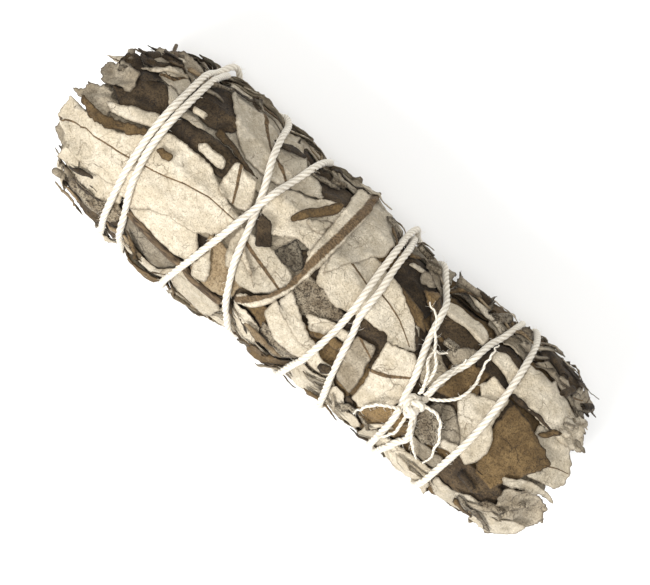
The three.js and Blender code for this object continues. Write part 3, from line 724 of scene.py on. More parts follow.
# What each leaf shows beyond its outline: ribs as (line, width, height), curl, crumple and tone.
LONG_MIDRIB = [(-47, -39), (-44, -27), (-42, -21), (-38, -18), (-33, -14.5), (-28, -9.5), (-25, -5.5), (-21, -2.5),
               (-16, -3.5)]
WIDE_MIDRIB = [(-25.5, 74), (-21.5, 58), (-19, 48), (-17, 42), (-13.2, 33.5)]
LEAF_LOOKS = {
    "leaf_long_midrib": dict(ribs=[(LONG_MIDRIB, 0.2, -0.14)] + side_veins(LONG_MIDRIB, 3.6, 2.2),
                             crumple=0.13, curl=0.2, tone=-0.03),
    "leaf_wide_midrib": dict(ribs=[(WIDE_MIDRIB, 0.42, 0.2)] + side_veins(WIDE_MIDRIB, 2.6, 2.6),
                             crumple=0.14, curl=0.3, tone=-0.03),
    "leaf_folded_square": dict(ribs=[([(-20.4, 22), (-18.9, 12), (-17.8, 3)], 0.32, 0.16)], crumple=0.12, curl=0.35),
    "leaf_short_midrib": dict(ribs=[([(-12.8, -9.5), (-9, -13.5), (-4.6, -18)], 0.36, 0.16)], crumple=0.14),
    "leaf_folded_band": dict(ribs=[([(-2.2, 88), (-2.1, 50), (-2.6, 25), (-3.3, 5), (-3.7, -10), (-5, -22),
                                     (-6.5, -31), (-8.7, -41)], 0.95, 0.45)], crumple=0.1, curl=0.1, lift=0.2),
    "leaf_square_cut": dict(ribs=[([(13.4, -22), (16, -18), (18.8, -10.5)], 0.38, 0.12)], crumple=0.12, curl=0.35),
    "leaf_round_end": dict(ribs=[([(42.5, 1), (44.5, 6), (46.3, 9)], 0.2, 0.08)], crumple=0.12),
    "leaf_wrapped": dict(ribs=[([(-1, 47), (1, 49), (2.8, 54), (4.4, 56)], 0.1, -0.05),
                               ([(-1, 33), (2, 35), (4, 39)], 0.08, -0.05),
                               ([(0, 61), (2, 63), (4.4, 70)], 0.09, -0.05)], crumple=0.13, curl=0.15, tone=-0.04),
    "leaf_under_pair": dict(ribs=[([(0.5, 20), (5.5, 17)], 0.26, 0.05), ([(7, 20), (12, 14), (15.5, 5)], 0.2, 0.05)],
                            crumple=0.12, tone=0.0),
    "leaf_fan_upper": dict(crumple=0.08, curl=0.3, tone=0.03),
    "leaf_fan_lower": dict(crumple=0.1, curl=0.35, tone=0.03),
    "leaf_brown_square": dict(tone=0.12, ribs=[([(8.8, -10), (10.5, -13), (12.4, -16)], 0.25, 0.12)], crumple=0.12, curl=0.3),
    "leaf_flaked": dict(rag=0.35, crumple=0.13, curl=0.3),
    "leaf_frayed_end_left": dict(rag=0.5, curl=0.6, crumple=0.25),
    "leaf_papery_strip": dict(rag=0.28, crumple=0.14, curl=0.25),
    "leaf_papery_right": dict(rag=0.2, crumple=0.12, curl=0.25),
    "leaf_curled_left": dict(curl=1.1, curl_width=2.2, crumple=0.3, rag=0.25),
    "leaf_upper_left": dict(curl=0.9, curl_width=2.0, crumple=0.28, rag=0.25),
    "leaf_dark_left": dict(curl=0.5, crumple=0.32, rag=0.25),
    "leaf_dark_lower_left": dict(curl=0.6, crumple=0.3, rag=0.25, tone=0.1),
    "leaf_crumpled_upper": dict(curl=1.0, curl_width=2.2, crumple=0.4, rag=0.3, tone=-0.1),
    "leaf_dark_upper_right": dict(curl=0.8, curl_width=2.0, crumple=0.4, rag=0.3),
    "leaf_strap_right": dict(curl=0.7, crumple=0.25, ribs=[([(40, 53), (42.4, 64), (43, 90)], 0.2, 0.15)]),
    "leaf_curled_right_end": dict(curl=1.2, curl_width=2.4, crumple=0.3, rag=0.25),
    "leaf_rolled_left": dict(curl=0.7, crumple=0.2, tone=0.15),
    "leaf_lobe_left": dict(curl=0.5, crumple=0.16, tone=0.04),
}

# Small leaves and scraps that the CAD leaves out: name, kind, layer, outline, looks.
SCRAPS = [
    ("scrap_lip_left", "grey", 1.2, [(-46.3, -34), (-40, -36), (-39, -44), (-42.5, -50), (-45, -54),
                                     (-46.4, -49)],
     dict(curl=0.9, rag=0.2, tone=-0.1)),
    ("scrap_pointed_left", "dark", 3.1, [(-44.8, 47), (-41, 39), (-37.5, 45), (-38, 30), (-42, 25),
                                         (-44.8, 32)],
     dict(curl=0.9, curl_width=2.0, crumple=0.3)),
    ("scrap_tip_left", "dark", 3.4, [(-43.4, 52.5), (-40.5, 48.5), (-37, 53), (-36, 42), (-40, 37.5),
                                     (-42.8, 41)],
     dict(curl=0.9, curl_width=2.0, crumple=0.3)),
    ("scrap_fold_left", "pale", 4.2, [(-38.6, 48), (-36, 51.5), (-34, 48), (-34, 36), (-36, 34), (-38.8, 37)],
     dict(curl=0.9, crumple=0.25, ribs=[([(-38.5, 38), (-36.5, 41), (-35.3, 50)], 0.3, -0.1)])),
    ("scrap_pale_under_pair", "pale", 4.1, [(-36.5, 35), (-34, 34), (-32, 30), (-32, 22), (-34.6, 24),
                                            (-36, 30)],
     dict(curl=0.4, crumple=0.2)),
    ("scrap_sliver", "pale", 3.2, [(-33, 29), (-28.5, 28), (-27.6, 25.5), (-28.4, 23.5), (-33, 23)],
     dict(curl=0.3, tone=-0.05)),
    ("scrap_sliver_low", "pale", 3.3, [(-27.4, 16.5), (-26.5, 18.6), (-22.6, 19.2), (-22, 16),
                                       (-22, 13), (-26.4, 13.6)],
     dict(curl=0.3, tone=-0.02)),
    ("scrap_dark_sliver", "dark", 1.5, [(-33, 24), (-27, 26), (-20, 25), (-20, 10), (-27, 9), (-33, 10)],
     dict(curl=0.3)),
    ("scrap_olive_rim", "brown", 3.4, [(-26.5, 33), (-24, 32), (-20.5, 26.5), (-17, 24), (-20, 23),
                                       (-24.5, 26.5),
                                       (-26.5, 28)], dict(curl=0.5, tone=-0.25)),
    ("scrap_below_left_a", "grey", 3.5, [(-29, 5), (-29.2, 9.5), (-30.8, 9.5), (-31, 4), (-30, 2.6)],
     dict(curl=0.4)),
    ("scrap_below_left_b", "brown", 5.1, [(-28.7, -2), (-28.8, 2.6), (-31, 2.4), (-31.6, -1), (-30, -2.6)],
     dict(curl=0.4, rag=0.2)),
    ("scrap_dark_patch", "speckled", 4.3, [(-7.3, 10.5), (-5.5, 6.5), (-3.7, 1), (-4.2, -5),
                                           (-6.5, -4.5), (-8.7, -2.5)],
     dict(curl=0.3, tone=-0.3)),
    ("scrap_dark_small", "dark", 4.3, [(-13.7, 9.8), (-11.5, 8), (-10.3, 3), (-9.3, -2), (-11.3, -8),
                                       (-12.2, -2),
                                       (-13.7, 4)], dict(curl=0.3)),
    ("scrap_stalk", "brown", 4.6, [(-5, 43.5), (-4.7, 38), (-7, 27), (-9.3, 15.5), (-10.2, 17.5), (-8.7, 28),
                                   (-6.7, 38)], dict(curl=0.1, rag=0.12, crumple=0.2, lift=0.15)),
    ("scrap_pale_beside_stalk", "pale", 4.1, [(-8, 21.5), (-7, 26), (-4.6, 32), (-4.6, 21), (-6, 19.5)],
     dict(curl=0.3, tone=0.03)),
    ("scrap_white_edge", "pale", 4.1, [(-4.8, 18), (-4.4, 13), (-5, 7.5), (-3.6, 7), (-3.6, 18)],
     dict(curl=0.3, tone=0.08)),
    ("scrap_tongue", "pale", 3.2, [(-16.2, -25), (-15.2, -30), (-13.7, -39), (-14, -44), (-16.2, -47),
                                   (-17, -40)],
     dict(curl=0.4, tone=0.04)),
    ("scrap_pale_wedge", "pale", 4.2, [(-17.8, 0), (-14.6, -5), (-14.8, -2), (-15.5, 0.5)],
     dict(curl=0.2, tone=0.05)),
    ("scrap_wedge_right", "pale", 4.3, [(-12.6, -11), (-9, -20), (-7.4, -27), (-8.6, -22), (-12, -17.5)],
     dict(curl=0.3, tone=0.05)),
    ("scrap_speckled_mid", "speckled", 2.6, [(-3.5, -13), (-2.5, 0), (3, -1), (6, -8), (4.5, -14),
                                             (0.3, -23), (-2, -20)],
     dict(curl=0.2)),
    ("scrap_fan_top", "pale", 4.6, [(0.6, -19.5), (3.7, -13.5), (8, -13), (8.4, -20), (4, -22.7), (2.4, -25)],
     dict(curl=0.25, tone=0.02)),
    ("scrap_brown_band", "brown", 3.4, [(2.5, -22), (8, -21), (12.7, -19), (13.5, -25.5), (9, -27),
                                        (3, -27.5)],
     dict(curl=0.3, tone=0.1)),
    ("scrap_speckled_low", "speckled", 2.4, [(-3.5, -40), (1, -42), (9.5, -40), (10, -52), (4, -55),
                                             (1, -66), (-2, -60)],
     dict(curl=0.3, tone=0.15)),
    ("scrap_dark_corner", "dark", 3.2, [(7, -37), (8.8, -36), (9.2, -40), (8, -42.5), (7, -41)],
     dict(curl=0.2)),
    ("scrap_below_band", "pale", 3.3, [(-9, -44), (-5, -42), (-3, -49), (-2, -57), (-3, -72), (-8, -75),
                                       (-8, -58)],
     dict(curl=0.4, crumple=0.25)),
    ("scrap_thorn", "dark", 3.6, [(-6.6, -51), (-4.6, -56), (-3.9, -60), (-5.6, -56)], dict(curl=0.1)),
    ("scrap_streaked", "brown", 3.2, [(15, -42), (19, -31), (22.5, -31), (22.5, -46), (20, -58), (16, -57)],
     dict(curl=0.3, tone=0.35)),
    ("scrap_dark_streak", "dark", 3.7, [(13.2, -50.5), (14.1, -49), (16.8, -60.5), (18.2, -66),
                                        (17, -66), (14, -58)],
     dict(curl=0.1)),
    ("scrap_rim_left_low", "dark", 3.3, [(-43.2, -58), (-41.5, -57), (-37, -52), (-33, -48),
                                         (-33, -46.4), (-37, -49),
                                         (-40, -53)], dict(curl=0.3, tone=0.2)),
    ("scrap_behind_knot", "grey", 3.3, [(17.3, 16), (20, 13.5), (23, 7), (23, -8), (20, -8), (18.7, 0)],
     dict(curl=0.3, tone=0.06)),
    ("scrap_fuzzy", "brown", 2.6, [(22.2, 22), (27.5, 22), (28, 8), (26, -4), (22, -6)],
     dict(curl=0.4, crumple=0.3)),
    ("scrap_grey_wedge", "grey", 3.5, [(19.8, 16), (22.2, 26), (25, 33.5), (25, 24), (22.8, 13)],
     dict(curl=0.4, crumple=0.25)),
    ("scrap_brown_under_strip", "dark", 2.5, [(14.5, 40), (25, 38), (25, 22), (17, 22), (15, 30)],
     dict(curl=0.3, tone=0.1)),
    # A dark sheet deep in the crevice, made darker still: painted shade at the bottom of the crevice.
    ("scrap_crevice", "dark", 1.4, [(6, 62), (12, 62), (15, 45), (15, 24), (7, 26)],
     dict(curl=0.2, tone=-0.2)),
    ("scrap_crevice_a", "grey", 3.1, [(10.3, 47), (11.2, 51.5), (12.9, 47), (13.4, 42), (10.8, 40)],
     dict(curl=1.0, curl_width=1.2, crumple=0.3)),
    ("scrap_crevice_b", "grey", 4.1, [(10.3, 58), (12.5, 61), (15.2, 57), (15.3, 50), (13.8, 47), (11.5, 52)],
     dict(curl=1.0, curl_width=1.2, crumple=0.4)),
    ("scrap_crevice_c", "brown", 2.4, [(12, 38), (14.5, 47), (16, 38), (16.2, 30), (14, 31)],
     dict(curl=0.8, crumple=0.3, tone=0.2)),
    ("scrap_olive_point", "brown", 4.2, [(9, 29.8), (14, 25.5), (16.4, 18), (14, 17.6), (12, 22), (10, 26)],
     dict(curl=0.3, tone=0.12)),
    # A thin dark sliver along a gap between leaves: painted shade of the gap.
    ("scrap_dark_gap_e", "dark", 4.4, [(14, 18), (16.7, 11), (16.9, 5.5), (15.6, 10)], dict(curl=0.1)),
    ("scrap_dark_under_g", "dark", 2.5, [(25.8, 47), (29.5, 47.5), (31.5, 43), (31.8, 20.5), (26, 21.5),
                                         (24.6, 24)],
     dict(curl=0.3, tone=0.05)),
    ("scrap_top_g", "grey", 3.2, [(22.3, 66), (23, 52.5), (26, 51.5), (31, 49.5), (31.5, 64), (27, 74)],
     dict(curl=0.7, crumple=0.3)),
    ("scrap_curl_g", "grey", 4.2, [(27, 58), (27.5, 62), (30, 60), (30.3, 52), (28.4, 54)],
     dict(curl=1.1, curl_width=1.4, crumple=0.4)),
    ("scrap_fold_g", "pale", 4.0, [(26.3, 45), (26.6, 49.3), (29.8, 48), (29, 44.5), (27.5, 46)],
     dict(curl=0.5)),
    ("scrap_pale_g", "pale", 3.4, [(27.3, 13), (28, 22.5), (32.3, 19), (32.3, 10), (28.5, 8.5)],
     dict(curl=0.3)),
    ("scrap_top_middle", "grey", 3.1, [(5.5, 68), (9.8, 61.5), (14.8, 62), (15, 98), (5.5, 98)],
     dict(curl=0.7, crumple=0.35, tone=-0.1)),
    ("scrap_top_right", "brown", 3.2, [(22, 66), (27, 75), (31.5, 66), (33, 98), (21, 98)],
     dict(curl=0.8, crumple=0.4)),
    ("scrap_triangle_top", "grey", 3.3, [(31.8, 51.5), (34.5, 62), (38.5, 52.5), (36, 50.5)],
     dict(curl=0.3, tone=0.1)),
    ("scrap_rim_right", "grey", 5.2, [(31.8, 49.5), (36, 52), (40, 50), (43.5, 45.5), (43, 43.5),
                                      (40, 46.5), (36, 48.8),
                                      (32, 48)], dict(curl=0.5, curl_width=0.8, tone=-0.1)),
    ("scrap_olive_stalk", "brown", 5.2, [(38.3, 12.5), (40.3, 23), (41.7, 23.8), (39.7, 13.5)],
     dict(curl=0.1, lift=0.15, tone=-0.15)),
    ("scrap_brown_strip_right", "dark", 4.4, [(31.9, 23.5), (34.5, 22.5), (37, 22.6), (41, 21),
                                              (40.5, 19), (37, 20.8),
                                              (34, 20), (31.9, 21.4)], dict(curl=0.1, tone=0.25)),
    ("scrap_flake_a", "pale", 4.5, [(42, 43), (43.8, 43.4), (44.6, 39), (43.2, 37), (42, 39)],
     dict(rag=0.4, curl=0.6)),
    ("scrap_flake_b", "grey", 4.6, [(43.4, 30), (45.9, 31.5), (46, 27.3), (44.2, 26)],
     dict(rag=0.3, curl=0.6)),
    ("scrap_flake_c", "pale", 4.7, [(40.2, 33), (41.6, 35.5), (43, 34), (42.2, 29), (40.6, 29.4)],
     dict(rag=0.4, curl=0.6)),
    ("scrap_flake_d", "pale", 4.6, [(40.4, 26), (41.8, 28.6), (43.2, 27), (42.6, 23.6), (41.2, 23.4)],
     dict(rag=0.4, curl=0.5)),
    ("scrap_dark_low_right", "dark", 1.6, [(30.5, -26), (38, -28), (43, -32), (45, -44), (38, -48),
                                           (31, -52)],
     dict(curl=0.3, crumple=0.25, tone=0.2)),
    ("scrap_grey_right", "grey", 2.6, [(23.5, -12), (26.5, -7), (31, -20), (31, -30), (27, -34), (24, -30)],
     dict(curl=0.3, tone=-0.15)),
    ("scrap_grey_low_knot", "grey", 2.7, [(23.8, -40), (28, -36), (31, -38), (31, -50), (25, -47)],
     dict(curl=0.3, tone=-0.05)),
    ("scrap_small_g", "pale", 3.6, [(28, -24.5), (30.6, -21.5), (30.7, -29.5), (28.6, -29.5)],
     dict(curl=0.2)),
    ("scrap_lobe_end", "pale", 4.4, [(38.5, -20), (40.5, -15.5), (43.5, -13), (46, -14.5), (47.8, -22),
                                     (47.4, -24.5),
                                     (45, -19.5), (42, -21.5), (39.5, -26)], dict(curl=0.7, crumple=0.25)),
    ("scrap_lobe_low", "pale", 3.4, [(34.3, -46), (37, -43), (41, -42.5), (43.5, -46), (40.5, -50),
                                     (38.5, -56),
                                     (36.5, -54), (36, -49.5)], dict(curl=0.7, crumple=0.2)),
    ("scrap_low_end", "pale", 4.3, [(39.3, -56), (40, -52), (44.5, -48), (47, -50), (46.8, -60),
                                    (44, -68), (40, -74),
                                    (39.4, -64)], dict(curl=0.6, crumple=0.2)),
    ("scrap_end_low", "grey", 2.3, [(43, -40), (48.3, -48), (49.4, -70), (49.4, -95), (44, -96), (42, -60)],
     dict(curl=0.6, crumple=0.3, tone=0.1)),
    ("scrap_bottom_right", "pale", 2.4, [(18.5, -60), (31.5, -60), (33, -96), (18.5, -96)],
     dict(curl=0.5, crumple=0.3)),
    ("scrap_bottom_left", "grey", 2.3, [(-29, -46), (-19, -47), (-18.5, -60), (-23, -70), (-28.5, -66)],
     dict(curl=0.4, crumple=0.25, tone=-0.3)),
    ("scrap_narrow_left", "pale", 3.6, [(-43.5, -66), (-41, -63), (-39.7, -72), (-40.5, -92), (-43.5, -92)],
     dict(curl=0.5, crumple=0.2)),
]


def lanceolate(tip, base, turn, half_width, lean):
    """A whole leaf's outline, pointed at its tip."""
    t = np.linspace(0, 1, 9)
    width = half_width * np.sin(np.pi * t ** 0.8) ** 0.5
    x = tip + (base - tip) * t
    middle = turn + lean * (t - 0.5)
    upper = np.stack([x, middle + width], axis=1)
    lower = np.stack([x, middle - width], axis=1)[::-1]
    return np.vstack([upper, lower[1:-1]])


def under_layers():
    """Leaves that fill the gaps all round, under the ones with a place of their own."""
    rng = np.random.default_rng(21)
    kinds = ["dark", "brown", "grey", "dark", "pale", "brown"]
    count = 0
    for ring in range(2):
        for step in range(9):
            turn = -180 + 40 * step + 20 * ring + rng.uniform(-5, 5)
            for left in (True, False):
                tip = rng.uniform(-46.5, -42) if left else rng.uniform(42, 46.5)
                base = rng.uniform(3, 10) * (1 if left else -1)
                outline = lanceolate(tip, base, turn, rng.uniform(21, 27), rng.uniform(-14, 14))
                kind = kinds[count % len(kinds)]
                add_leaf(f"filler_{count + 1}", kind, outline, 300 + count, dict(crumple=0.25, curl=0.3, grid=0.8))
                count += 1


def back_layers():
    """Smaller leaves on the hidden side, over the CAD's back leaves."""
    rng = np.random.default_rng(33)
    kinds = ["pale", "grey", "pale", "brown", "pale", "dark"]
    for count in range(26):
        turn = 96 + 168 * ((count * 0.618) % 1.0)
        middle = -40 + 80 * ((count * 0.381 + 0.2) % 1.0)
        half = rng.uniform(6, 12)
        lean = rng.uniform(-30, 30)
        outline = lanceolate(middle - half, middle + half, turn, rng.uniform(9, 15), lean)
        if rng.uniform() < 0.5:
            outline[:, 0] = 2 * middle - outline[:, 0]
        rib = [(middle - half * 0.9, turn - lean * 0.45), (middle, turn), (middle + half * 0.8, turn + lean * 0.4)]
        looks = dict(crumple=0.2, curl=0.45, grid=0.6, ribs=[(rib, 0.34, 0.14)])
        add_leaf(f"back_leaf_{count + 1}", kinds[count % len(kinds)], outline, 400 + count, looks)


def shards():
    """Thin torn slivers along both flanks and at the two ends."""
    rng = np.random.default_rng(58)
    kinds = ["pale", "dark", "grey", "brown", "pale", "speckled", "tan"]
    for count in range(84):
        side = 1 if count % 2 else -1
        x = rng.uniform(-43, 43)
        turn = side * rng.uniform(50, 90)
        if abs(x) > 38:
            turn = side * rng.uniform(30, 90)
        half = rng.uniform(1.4, 4.2)
        outline = lanceolate(x - half, x + half, turn, rng.uniform(1.2, 3.0), rng.uniform(-16, 16))
        looks = dict(grid=0.5, crumple=0.2, curl=0.2, rag=0.12, tone=rng.uniform(-0.1, 0.1))
        add_leaf(f"shard_{count + 1}", kinds[count % len(kinds)], outline, 1200 + count, looks)


def add_leaf(name, kind, outline, seed, looks, replaces=()):
    mat, slot = KINDS[kind]
    leaf(name, outline, mat, seed, slot, replaces=replaces, **looks)


# Leaves whose look is closer to the photo in another kind than their CAD material slot.
KIND_CHANGES = {
    "leaf_brown_square": "grey",
    "leaf_olive": "tan",
    "leaf_dark_knot": "speckled",
    "leaf_crumpled_upper": "speckled",
    "leaf_rolled_left": "speckled",
}
LAYER_PITCH = 0.8  # between two layers of leaves in the CAD
BACK_LAYER = 4.8  # the smaller leaves of the hidden side go on before this layer


def kind_of(node):
    if node in KIND_CHANGES:
        return KIND_CHANGES[node]
    slots = {s["node"]: s["material_slot"] for s in frame["record"]["subparts"]}
    return slots[node].replace("leaf_", "")


under_layers()
stack = []
for node in sorted(frame["nodes"]):
    if node.startswith("leaf_") and not node.startswith("leaf_packed"):
        outline, depth = cad_outline(node)
        stack.append((5 - depth / LAYER_PITCH, node, kind_of(node), outline, LEAF_LOOKS.get(node, {}), (node,)))
for name, kind, layer, outline, looks in SCRAPS:
    stack.append((layer, name, kind, np.array(outline, dtype=float), looks, ()))
back_done = False
for number, (layer, name, kind, outline, looks, replaced) in enumerate(sorted(stack, key=lambda s: (s[0], s[1]))):
    if layer > BACK_LAYER and not back_done:
        back_layers()
        back_done = True
    if name.startswith("leaf_back"):
        looks = dict(grid=0.6, crumple=0.22, curl=0.3)
    add_leaf(name + "_look" if replaced else name, kind, outline, 500 + number, looks, replaced)
shards()


# ---------------------------------------------------------------- packed leaves and stems inside

PACKED_RINGS = [
    (["leaf_packed_1_1", "leaf_packed_1_2"], 1.0, (10, 190), 188, GREY),
    (["leaf_packed_2_1", "leaf_packed_2_2"], 0.8, (100, 280), 184, BROWN),
    (["leaf_packed_3_1"], 0.55, (55,), 350, DARK_AND_GAP_SHADE),
]


def sheet_faces(rows, columns):
    """Faces of a grid of points and its other side, joined round the rim."""
    total = rows * columns
    faces = []
    for i in range(rows - 1):
        for j in range(columns - 1):
            p = i * columns + j
            faces.append((p, p + columns, p + columns + 1, p + 1))
            faces.append((total + p, total + p + 1, total + p + columns + 1, total + p + columns))
    rim = [i * columns for i in range(rows)]
    rim += [(rows - 1) * columns + j for j in range(1, columns)]
    rim += [i * columns + columns - 1 for i in range(rows - 2, -1, -1)]
    rim += list(range(columns - 2, 0, -1))
    for p, q in zip(rim, rim[1:] + rim[:1]):
        faces.append((p, p + total, q + total, q))
    return faces


def rolled_leaf(name, share, start, span, mat, seed):
    """A packed leaf rolled round the stems, with ragged ends. share is its part of the filling's radius."""
    box_low, box_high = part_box(name)
    rng = np.random.default_rng(seed)
    count_x = 90
    count_t = int(span * ARC * share / 0.9)
    a, b = np.meshgrid(np.linspace(0, 1, count_x), np.linspace(0, 1, count_t), indexing="ij")
    turn = start + span * b
    low = box_low[0] / MM + 1.2 * waves(turn * ARC, 0 * turn, 6, seed) + 0.6 * waves(turn * ARC, 0 * turn, 2, seed + 1)
    high = box_high[0] / MM + 1.2 * waves(turn * ARC, 0 * turn, 6, seed + 2)
    x = low + (high - low) * a
    radius = (girth(x) - CORE_DEPTH) * share - 0.5 + 0.8 * (b - 0.5)
    radius = radius + 0.3 * waves(x, turn * ARC, 7, seed + 3) + 0.12 * waves(x, turn * ARC, 2, seed + 4)
    outer = place(x, turn, radius).reshape(-1, 3)
    inner = place(x, turn, radius - 0.4).reshape(-1, 3)
    total = count_x * count_t
    faces = sheet_faces(count_x, count_t)
    edge = np.minimum(np.minimum(a, 1 - a) * 40, np.minimum(b, 1 - b) * 40).ravel()
    # rim is the distance to the sheet's edge; the material paints shade along the edge from it.
    values = {"rim": np.tile(np.clip(edge / 2, 0, 1), 2), "rib": np.zeros(2 * total),
              "tone": np.full(2 * total, rng.uniform(-0.1, 0.1))}
    obj = make_object(name + "_look", np.vstack([outer, inner]), faces, mat, values=values)
    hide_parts(name)


def frames(path):
    """Directions along and across a path, turning as little as they can."""
    along = np.gradient(path, axis=0)
    along /= np.linalg.norm(along, axis=1)[:, None]
    side = np.cross(along[0], (0.0, 0.3, 1.0))
    side /= np.linalg.norm(side)
    sides = [side]
    for direction in along[1:]:
        side = side - direction * side.dot(direction)
        side = side / np.linalg.norm(side)
        sides.append(side)
    sides = np.array(sides)
    return along, sides, np.cross(along, sides)


def even_steps(path, step):
    run = np.concatenate([[0], np.cumsum(np.linalg.norm(np.diff(path, axis=0), axis=1))])
    at = np.linspace(0, run[-1], max(4, int(run[-1] / step)))
    return np.stack([np.interp(at, run, path[:, k]) for k in range(3)], axis=1), at


def tube(path, section):
    """Points and faces of a closed tube. section gives radii for (step, side) and may taper to the ends."""
    count, sides = section.shape
    _, side, up = frames(path)
    angle = np.linspace(0, 2 * math.pi, sides, endpoint=False)
    ring = side[:, None] * np.cos(angle)[None, :, None] + up[:, None] * np.sin(angle)[None, :, None]
    points = (path[:, None] + ring * section[:, :, None]).reshape(-1, 3)
    faces = []
    for i in range(count - 1):
        k = i + 1
        for j in range(sides):
            n = (j + 1) % sides
            faces.append((i * sides + j, i * sides + n, k * sides + n, k * sides + j))
    faces.append(tuple(range(sides - 1, -1, -1)))
    faces.append(tuple((count - 1) * sides + j for j in range(sides)))
    return points, faces


def stem_piece(name, path, radius, seed, node=None):
    """A woody stem: ridged bark, swollen nodes and broken ends."""
    path, at = even_steps(path, 0.35)
    sides = 20
    angle = np.linspace(0, 2 * math.pi, sides, endpoint=False)
    a, s = np.meshgrid(at, angle, indexing="ij")
    ridges = 0.1 * waves(a * 0.12, np.cos(s) * 3, 1.6, seed) + 0.06 * waves(a * 0.2, np.sin(s) * 3, 0.7, seed + 1)
    swell = 0.12 * np.exp(-((a % 11 - 5.5) / 0.7) ** 2)
    section = radius * (1 + ridges + swell)
    points, faces = tube(path, section)
    obj = make_object(name, points, faces, STEM)
    if node:
        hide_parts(node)


for ring, (names, share, starts, span, mat) in enumerate(PACKED_RINGS):
    for name, start in zip(names, starts):
        rolled_leaf(name, share, start, span, mat, 700 + 10 * ring + start)
for seed, node in enumerate(["stem_lower", "stem_left", "stem_right"]):
    low, high = (np.array(corner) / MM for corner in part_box(node))
    centre = (low + high) / 2
    bow = np.linspace(0, math.pi, 30)
    line = np.stack([np.linspace(low[0] + 2, high[0] - 4, 30), centre[1] + 0.25 * np.sin(bow * 2),
                     centre[2] + 0.2 * np.sin(bow)], axis=1)
    stem_piece(node + "_look", line, 1.05, 800 + seed, node)

SIDE_STEM = [(-29.3, -43.6), (-26.5, -43.4), (-24, -44.6), (-20.5, -46.2), (-17, -48.6), (-13.5, -50.6), (-10.2, -51.6)]
side_line = smooth_curve(SIDE_STEM, 8)
side_radius = sample(blur(top_of_stack, 1.2), side_line[:, 0], side_line[:, 1]) + 0.25
side_radius -= 0.5 * sample(STRING_NEAR, side_line[:, 0], side_line[:, 1])
stem_piece("stem_side_look", place(side_line[:, 0], side_line[:, 1], side_radius), 0.55, 810, "stem_side")
TWIG = [(-36, 50), (-38.5, 60), (-39.6, 70), (-40.6, 80), (-41.2, 90)]
twig_line = smooth_curve(TWIG, 8)
twig_rise = np.linspace(-0.5, 1.6, len(twig_line))
twig_radius = sample(blur(top_of_stack, 1.2), twig_line[:, 0], twig_line[:, 1]) + twig_rise
stem_piece("twig_left", place(twig_line[:, 0], twig_line[:, 1], twig_radius), 0.3, 820)


# Rolled-up scraps in the crevices: x, turn, roll radius, length, slant in degrees, kind.
ROLLS = [
    (11.4, 57, 0.75, 2.6, 20, "grey"), (13.2, 50, 0.7, 2.4, -10, "speckled"), (14.0, 62, 0.8, 3.0, 40, "grey"),
    (20.3, 21, 0.8, 2.2, 5, "speckled"), (28.4, 60, 0.7, 3.2, 25, "grey"), (31, 56, 0.6, 2.6, -15, "dark"),
    (24, 62, 0.8, 3.6, 60, "speckled"), (35.5, 58, 0.7, 3.4, -35, "dark"), (17.5, 70, 0.8, 4.0, 15, "grey"),
    (38.5, 50, 0.6, 2.8, 70, "dark"), (9, 70, 0.7, 3.0, -25, "speckled"), (42.5, 40, 0.5, 2.2, 40, "pale"),
    (44.8, 33, 0.45, 1.8, 110, "pale"), (41.5, 31, 0.4, 1.6, 20, "grey"), (-42, 58, 0.9, 3.2, 70, "dark"),
    (-44, 44, 0.8, 2.6, 110, "grey"), (-39, 56, 0.7, 3.2, 20, "dark"), (-43.3, 30, 0.6, 2.0, 60, "speckled"),
    (-31.5, 46, 0.5, 2.2, 80, "grey"), (-30.2, 33, 0.5, 2.0, 10, "pale"), (43.6, -33, 0.5, 2.4, 70, "grey"),
    (-41.5, -66, 0.6, 2.8, 30, "grey"), (42.5, 60, 0.7, 2.6, 60, "dark"), (20, 74, 0.7, 3.0, 0, "dark"),
    (-8, 60, 0.5, 2.6, 30, "speckled"), (40.5, -40, 0.6, 3.4, 15, "speckled"), (35, -36, 0.5, 3.2, -12, "dark"),
]


def roll(name, x, turn, radius, length, slant, kind, seed):
    """A scrap of leaf curled up like a scroll, lying on the stack."""
    rng = np.random.default_rng(seed)
    mat, slot_name = KINDS[kind]
    count_a, count_b = 46, max(7, int(length / 0.3))
    wind = rng.uniform(1.2, 1.7) * 2 * math.pi
    a, b = np.meshgrid(np.linspace(0, 1, count_a), np.linspace(-0.5, 0.5, count_b), indexing="ij")
    b = b + 0.12 * waves(a * 6, 0 * a, 2.2, seed)
    spiral = radius * (0.25 + 0.75 * a) * (1 + 0.12 * waves(a * 5, b * 3, 2.0, seed + 1))
    base = float(sample(blur(top_of_stack, 0.8), np.array([x]), np.array([turn]))[0]) + radius * 0.65
    slant = math.radians(slant)
    sheets = []
    for thick in (0.09, -0.09):
        across = (spiral + thick) * np.cos(a * wind)
        rise = (spiral + thick) * np.sin(a * wind)
        along = b * length
        dx = along * math.cos(slant) - across * math.sin(slant)
        dv = along * math.sin(slant) + across * math.cos(slant)
        sheets.append(place(x + dx, turn + dv / ARC, base + rise).reshape(-1, 3))
    total = count_a * count_b
    faces = sheet_faces(count_a, count_b)
    edge = np.minimum(0.5 - abs(b), 1 - a).ravel() * length
    # rim is the distance to the scrap's edge; the material paints shade along the edge from it.
    values = {"rim": np.tile(np.clip(edge / 2, 0, 1), 2), "rib": np.zeros(2 * total),
              "tone": np.full(2 * total, rng.uniform(-0.1, 0.12))}
    obj = make_object(name, np.vstack(sheets), faces, mat, values=values)


CLEAR_OF_STRING = 0.12  # a roll nearer to the string than this would cover it
for number, item in enumerate(ROLLS):
    if sample(STRING_NEAR, np.array([item[0]]), np.array([item[1]]))[0] > CLEAR_OF_STRING:
        continue
    roll(f"curled_scrap_{number + 1}", *item, 900 + number)


# ---------------------------------------------------------------- the string

